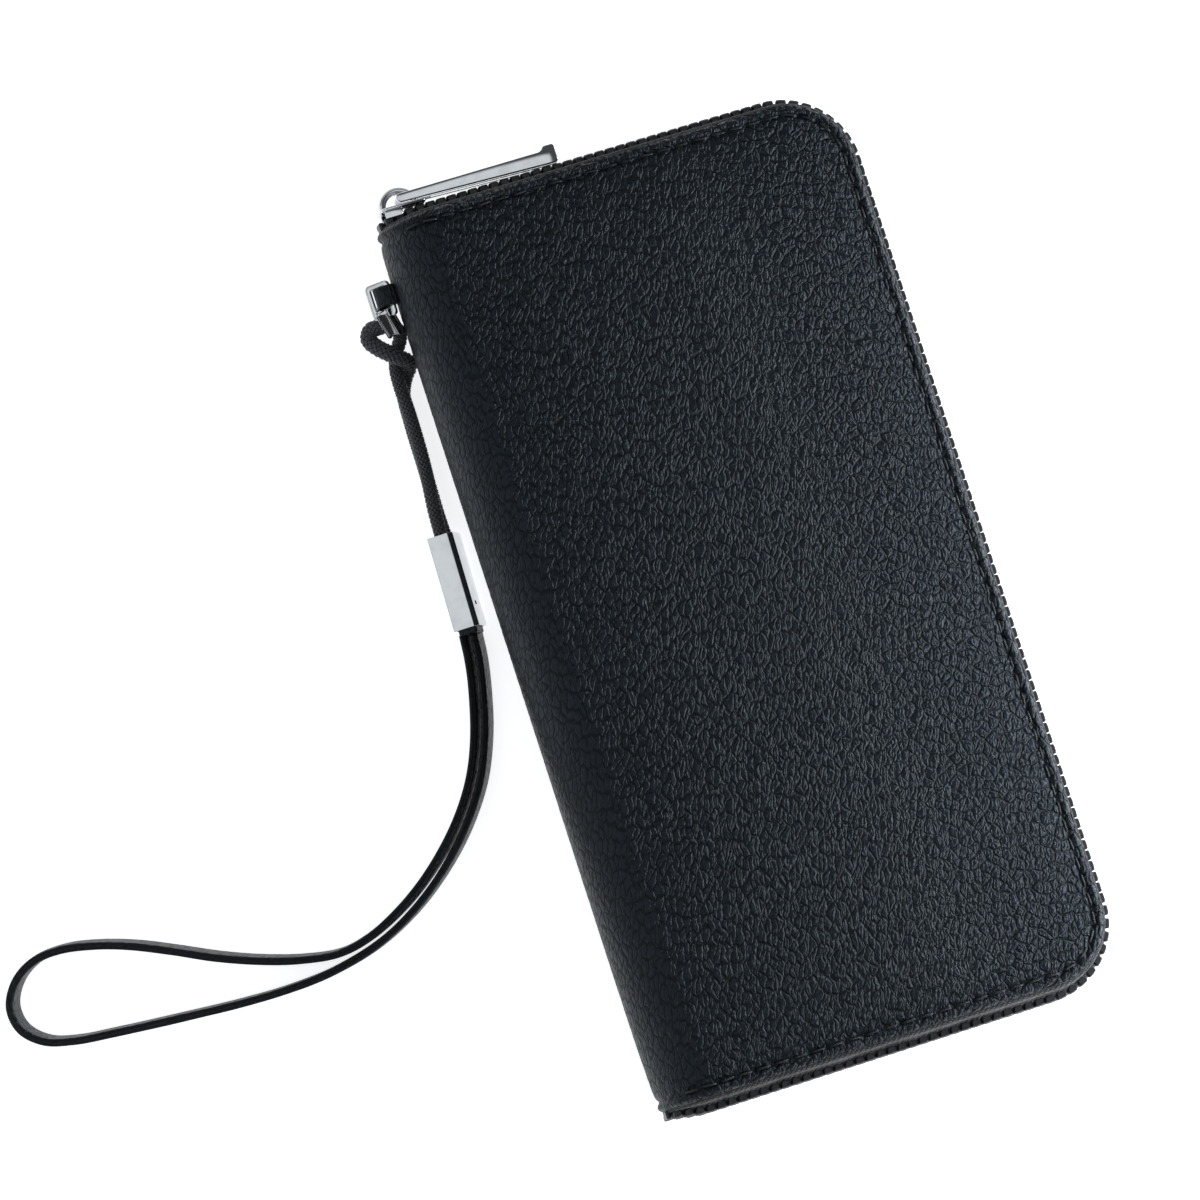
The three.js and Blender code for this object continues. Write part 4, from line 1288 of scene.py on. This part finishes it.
def main_slider():
    body = slider_body(
        "main_zip_slider",
        {
            "nose": -4.6, "tail": 5.6, "half_width": 4.4, "round": 0.3,
            "outer": (3.4, 4.2), "inner": (-0.9, -0.1), "post": (-2.9, -1.5), "post_half_width": 0.25,
            "flange": 0.7, "flange_low": 1.8,
            "crown": {"radius": 4.4, "wire": 1.7, "centre": 4.1, "half_width": 1.25},
        },
    )
    # Travel stays along X, outwards turns to +Y and width to Z.
    turn = Matrix(((1, 0, 0, 0), (0, 0, 1, 0), (0, -1, 0, 0), (0, 0, 0, 1)))
    place(body, Matrix.Translation((-45.6, HALF_HEIGHT, MID_PLANE)) @ turn)
    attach(body, "main_slider")
    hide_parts("zip_slider")


def main_puller():
    """A tapered bar with an eye, a sunk face on each side and a raised lip at its end."""
    length, sole, back, lip = 34.5, -2.1, 0.9, 1.9
    half_width = 3.2
    eye = [(0.95 * math.cos(a), 0.95 * math.sin(a)) for a in np.radians(np.linspace(90, 270, 13))]
    profile = eye + [(length - 2.5, sole), (length - 0.3, sole), (length, sole + 0.3), (length, lip - 0.4)]
    profile += [(length - 0.4, lip), (length - 2.2, lip), (length - 2.5, lip - 0.2)]
    profile += [(length - 2.9, back + 0.25), (length - 3.6, back)]
    cheeks = []
    window = 1.4
    for sign in (-1, 1):
        low, high = sorted((sign * window, sign * half_width))
        cheeks.append(prism("cheek", profile, low, high, CHROME, bevel_width=0.28))
    far = [p for p in profile if p[0] > 5] + [(6.6, 0.94), (6.6, -1.15)]
    cheeks.append(prism("middle", far, -window - 0.3, window + 0.3, CHROME, bevel_width=0.05))
    cheeks.append(prism("eye_bar", circle(0.78, 20, -0.12), -window - 0.3, window + 0.3, CHROME))
    puller = join_objects("main_zip_puller", cheeks)
    place(puller, Matrix.Translation((-45.0, 102.6, MID_PLANE)))
    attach(puller, "main_puller")
    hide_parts("zip_puller")


# ---- Inside: linings, card pockets and the coin pocket ----
def leaf(name, node, body, material, waves=0.06, open_edge=False):
    """A thin sewn leaf in the place of a flat CAD plate, a little wavy, with a bead along its open edge."""
    low, high = box_mm(node)
    step = 2.0
    open_columns = [high[0] - 1.2, high[0] - 0.5, high[0]]
    columns = np.unique(np.concatenate([np.arange(low[0], high[0], step), open_columns]))
    rows = np.unique(np.concatenate([np.arange(low[1], high[1], step), [high[1]]]))
    gx, gy = np.meshgrid(columns, rows)
    in_x = np.minimum(gx - low[0], high[0] - gx)
    in_y = np.minimum(gy - low[1], high[1] - gy)
    inside = np.minimum(in_x, in_y)
    seed = len(name) * 0.7
    wave = waves * np.sin(gx / 9 + seed) * np.sin(gy / 13 + 2 * seed) * np.clip(inside / 8, 0, 1)
    thick = np.clip(0.45 + 0.55 * np.sqrt(np.clip(inside / 0.6, 0, 1)), 0, 1) * (high[2] - low[2]) / 2
    if open_edge:
        thick = thick + 0.05 * np.exp(-(((high[0] - gx - 0.6) / 0.6) ** 2))
    middle = (low[2] + high[2]) / 2 + wave
    top = np.stack([gx, gy, middle + thick], -1).reshape(-1, 3)
    bottom = np.stack([gx, gy, middle - thick], -1).reshape(-1, 3)
    flat = np.concatenate([top, bottom])
    obj = make_object(name, flat, sheet_faces(len(rows), len(columns)), material)
    flat[:, 2] = 0
    store_vectors(obj, "leather_mm", flat + np.array([60, 0, 0]))
    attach(obj, body)
    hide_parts(node)


def straight_stitches(name, runs, body, z, up):
    """Short stitches along straight runs on a flat leaf. Each run is (x0, y0, x1, y1)."""
    parts = []
    pitch = 3.0
    for x0, y0, x1, y1 in runs:
        length = math.hypot(x1 - x0, y1 - y0)
        tangent = np.array([(x1 - x0) / length, (y1 - y0) / length, 0])
        for k in range(int(length / pitch)):
            middle = np.array([x0, y0, z]) + tangent * (k + 0.5) * pitch
            parts.append(stitch(middle, tangent, np.array([0, 0, float(up)]), 2.3, 0.16))
    vertices, faces = gather(parts)
    stitches = make_object(name, vertices, faces, THREAD)
    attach(stitches, body)


def cover_inside(side, body):
    """A cover's lining, card panel, three card pockets and their stitches."""
    up = 1 if side == "back" else -1
    lining_sheet(side, body)
    leaf(f"{side}_card_backing", f"{side}_card_panel", body, LEATHER)
    for k in (1, 2, 3):
        node = f"{side}_card_pocket_{k}"
        leaf(f"{side}_card_leaf_{k}", node, body, LEATHER, open_edge=True)
        low, high = box_mm(node)
        z = high[2] if up > 0 else low[2]
        edge = high[0] - 1.4
        runs = [(edge, low[1] + 1, edge, high[1] - 1)]
        if k == 3:
            runs += [(low[0] + 1, y, edge, y) for y in (low[1] + 1.5, 0, high[1] - 1.5)]
        straight_stitches(f"{side}_card_stitches_{k}", runs, body, z, up)


def lining_sheet(side, body):
    """The cloth glued inside a cover, cut to the cover's outline."""
    node = f"{side}_cover_lining"
    low, high = box_mm(node)
    inset = 2.5
    rows = []
    heights = skin_rows()[::4]
    heights = heights * (HALF_HEIGHT - inset) / HALF_HEIGHT
    shares = np.linspace(0, 1, 45)
    radius = CORNER_RADIUS - inset
    for y in heights:
        beyond = max(abs(y) - CORNER_Y, 0)
        end = CORNER_X + math.sqrt(max(radius**2 - min(beyond, radius) ** 2, 0))
        x = low[0] + shares * (end - low[0])
        rows.append(np.column_stack([x, np.full(len(x), y), np.zeros(len(x))]))
    grid = np.array(rows)
    puff = 0.05 * np.sin(grid[..., 0] / 6.3) * np.sin(grid[..., 1] / 8.1)
    top = grid.copy()
    top[..., 2] = high[2] + puff
    bottom = grid.copy()
    bottom[..., 2] = low[2] + puff
    vertices = np.concatenate([top.reshape(-1, 3), bottom.reshape(-1, 3)])
    sheet = make_object(f"{side}_lining", vertices, sheet_faces(len(heights), len(shares)), LINING)
    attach(sheet, body)
    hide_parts(node)


def coin_pocket():
    """The pocket's walls, edge strip and tapes, sewn along their edges, and the zip's teeth."""
    body = "coin_pocket"
    leaf("coin_back_wall", "coin_pocket_back_wall", body, LEATHER)
    leaf("coin_front_wall", "coin_pocket_front_wall", body, LEATHER, open_edge=True)
    leaf("coin_edge_strip", "coin_pocket_edge_strip", body, LEATHER)
    for half in ("inner", "outer"):
        leaf(f"coin_tape_{half}", f"coin_zip_tape_{half}", body, TAPE, waves=0.02)
    low, high = box_mm("coin_pocket_front_wall")
    strip_low, strip_high = box_mm("coin_pocket_edge_strip")
    runs = [
        (high[0] - 0.8, low[1] + 1, high[0] - 0.8, high[1] - 1),
        (strip_low[0] + 0.8, low[1] + 1, strip_low[0] + 0.8, high[1] - 1),
        (strip_high[0] - 1.2, low[1] + 1, strip_high[0] - 1.2, high[1] - 1),
        (low[0] + 1, low[1] + 1.2, strip_high[0] - 1.5, low[1] + 1.2),
        (low[0] + 1, high[1] - 1.2, strip_high[0] - 1.5, high[1] - 1.2),
    ]
    straight_stitches("coin_stitches", runs, body, high[2], 1)
    coin_teeth()


COIN_ZIP_X = 33.0
# A coin zip's tooth, as (distance from the zip's middle line, distance along the zip).
COIN_TOOTH = np.array([(1.5, 0.42), (1.5, -0.42), (0.2, -0.36), (-0.35, -0.22), (-0.35, 0.22), (0.2, 0.36)])
COIN_TOOTH_CENTRE = np.array([0.6, 0])


def coin_teeth():
    """Two rows of small metal teeth along the coin zip."""
    low, high = box_mm("coin_zip_teeth_inner")
    pitch = 1.5
    levels = ((low[2], 0.85), (low[2] + 0.25, 1.0), (high[2] - 0.3, 1.0), (high[2], 0.7))
    for half, sign, shift in (("inner", -1, 0.0), ("outer", 1, pitch / 2)):
        parts = []
        for k in range(int((high[1] - low[1] - 1) / pitch)):
            y = low[1] + 0.6 + shift + k * pitch
            vertices = []
            for z, scale in levels:
                xy = COIN_TOOTH_CENTRE + (COIN_TOOTH - COIN_TOOTH_CENTRE) * scale
                xy = np.array([COIN_ZIP_X, y]) + sign * xy
                vertices.append(np.column_stack([xy, np.full(len(xy), z)]))
            parts.append((np.concatenate(vertices), tube_faces(len(levels), len(COIN_TOOTH))))
        vertices, faces = gather(parts)
        row = make_object(f"coin_teeth_{half}", vertices, faces, TEETH, 35)
        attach(row, "coin_pocket")
        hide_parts(f"coin_zip_teeth_{half}")


def coin_slider():
    body = slider_body(
        "coin_zip_runner",
        {
            "nose": -3.2, "tail": 3.6, "half_width": 2.3, "round": 0.18,
            "outer": (2.2, 2.8), "inner": (-0.9, -0.3), "post": (-2.2, -1.2), "post_half_width": 0.18,
            "flange": 0.5, "flange_low": 0.8,
            "crown": {"radius": 2.2, "wire": 0.8, "centre": 2.6, "half_width": 0.6},
        },
    )
    turn = Matrix(((0, 1, 0, 0), (-1, 0, 0, 0), (0, 0, 1, 0), (0, 0, 0, 1)))
    place(body, Matrix.Translation((COIN_ZIP_X, 74.0, 13.5)) @ turn)
    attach(body, "coin_slider")
    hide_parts("coin_zip_slider")

    # Pull tab: a flat tongue with an eye at its near end.
    outline = []
    for k in range(9):
        angle = -math.pi / 2 + math.pi * k / 8
        outline.append((13 + 2 * math.cos(angle), 2 * math.sin(angle)))
    outline += [(-0.1, 2.0), (-0.4, 1.7), (-0.4, 0.6), (-0.4, -0.6), (-0.4, -1.7), (-0.1, -2.0), (4.0, -2.0)]
    eye = []
    for x, y in outline:
        # Each point of the eye is the outline's point, brought into the eye's rectangle.
        eye.append((min(max(x, 0.5), 3.2), min(max(y, -0.9), 0.9)))
    tab = prism("coin_pull_tongue", outline, 0, 0.8, CHROME, [eye])
    merge_doubles(tab)
    bevel(tab, 0.15)
    place(tab, Matrix.Translation((COIN_ZIP_X, 74.2, 16.6)) @ Matrix.Rotation(math.radians(-90), 4, "Z"))
    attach(tab, "coin_slider")
    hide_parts("coin_zip_pull_tab")


def merge_doubles(obj):
    """Merges points that fell on each other."""
    mesh = bmesh.new()
    mesh.from_mesh(obj.data)
    bmesh.ops.remove_doubles(mesh, verts=mesh.verts, dist=0.01 * MM)
    mesh.to_mesh(obj.data)
    mesh.free()


def dress_hidden_nodes():
    """CAD plates that keep their shape get a procedural finish."""
    finishes = {
        "back_cover_board": BOARD,
        "front_cover_board": BOARD,
        "spine_lining": LINING,
        "coin_pocket_rim": LINING,
    }
    for node, material in finishes.items():
        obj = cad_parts[node]
        obj.data.materials.clear()
        obj.data.materials.append(material)


# ---- Floor, world and lights ----
HORIZON_FILL = 0.03  # strength of the surroundings near the floor, which draws dark lines on the chrome
OVERHEAD_FILL = 0.085  # and overhead
ROOF_PANEL = 0.78  # a small bright panel straight above, seen in faces that lie level
LEFT_PANEL = 0.80  # and one beyond the spine, seen in faces that lean that way
LIGHTS = [
    # name, place (m), width (m), height (m), power (W)
    ("left_softbox", (-1.0, 0.15, 0.32), 1.2, 0.4, 1.4),
    ("right_softbox", (0.36, -0.28, 0.30), 0.5, 0.22, 1.0),
    ("edge_softbox", (0.14, -0.03, 0.062), 0.30, 0.04, 0.52),
    ("head_softbox", (0.05, 1.1, 0.60), 1.2, 0.6, 1.4),
    ("foot_softbox", (-0.15, -1.1, 0.60), 1.2, 0.6, 1.0),
]
FLOOR_GLOW = 0.8  # the paper is lit from below, as on a product table
FLOOR_HALF_SIZE = 3000.0  # both floor sizes are in millimetres
FLOOR_DROP = 0.05  # below the wallet, so that the two don't share a face
LIGHT_COLOUR = (0.95, 0.98, 1.0)


def studio():
    """A pale floor, a plain room with two soft panels, and the lamps."""
    corners = FLOOR_HALF_SIZE * np.array([(-1, -1, 0), (1, -1, 0), (1, 1, 0), (-1, 1, 0)])
    floor = make_object("floor", corners - [0, 0, FLOOR_DROP], [(0, 1, 2, 3)], floor_material())
    world = bpy.data.worlds.new("world")
    bpy.context.scene.world = world
    world.use_nodes = True
    nodes = Nodes(world.node_tree)
    background = world.node_tree.nodes["Background"]
    direction = nodes.add("ShaderNodeTexCoord").outputs["Generated"]
    parts = nodes.add("ShaderNodeSeparateXYZ", {"Vector": direction}).outputs
    fill = nodes.steps(parts["Z"], 0.30, 0.62, HORIZON_FILL, OVERHEAD_FILL)
    roof = nodes.steps(parts["Z"], 0.93, 0.97, 0.0, ROOF_PANEL)
    towards_left = nodes.times(parts["X"], -1.0)
    left = nodes.times(nodes.steps(towards_left, 0.30, 0.45), nodes.steps(parts["Z"], 0.45, 0.65))
    fill = nodes.plus(nodes.plus(fill, roof), nodes.times(left, LEFT_PANEL))
    seen = nodes.add("ShaderNodeLightPath").outputs["Is Camera Ray"]
    strength = nodes.plus(nodes.times(fill, nodes.minus(1.0, seen)), seen)
    world.node_tree.links.new(strength, background.inputs["Strength"])
    background.inputs["Color"].default_value = (*LIGHT_COLOUR, 1)
    for name, spot, size_x, size_y, power in LIGHTS:
        data = bpy.data.lights.new(name, "AREA")
        data.shape = "RECTANGLE"
        data.size, data.size_y = size_x, size_y
        data.energy = power
        data.color = LIGHT_COLOUR
        lamp = bpy.data.objects.new(name, data)
        aim = Vector((-0.03, 0, 0.01)) - Vector(spot)
        lamp.rotation_euler = aim.to_track_quat("-Z", "Y").to_euler()
        lamp.location = spot
        lamp.visible_camera = False
        bpy.context.scene.collection.objects.link(lamp)
    bpy.context.scene.view_settings.view_transform = "Standard"


def floor_material():
    material, nodes, shader = new_material("floor_paper")
    place_in_m = nodes.add("ShaderNodeTexCoord").outputs["Object"]
    grain = nodes.noise(place_in_m, 90.0, 3.0).outputs["Fac"]
    colour = nodes.mix_colour(grain, (0.90, 0.91, 0.92), (0.94, 0.945, 0.95))
    nodes.tree.links.new(colour, shader.inputs["Base Color"])
    shader.inputs["Roughness"].default_value = 0.75
    shader.inputs["Specular IOR Level"].default_value = 0.1
    shader.inputs["Emission Color"].default_value = (0.97, 0.985, 1.0, 1)
    shader.inputs["Emission Strength"].default_value = FLOOR_GLOW
    return material


# ---- Assembly ----
add_camera()
braided_cord()
strip, strip_line = leather_strip()
on_strip = strap_clamp() + [glued_ends()]
strap_ring()
strap_link()
strap_tab()
covers()
cover_stitches("front")
cover_stitches("back")
main_zip()
spine_end_tapes()
zip_stops()
main_slider()
main_puller()
cover_inside("back", "back_half")
cover_inside("front", "front_cover")
coin_pocket()
coin_slider()
dress_hidden_nodes()
studio()
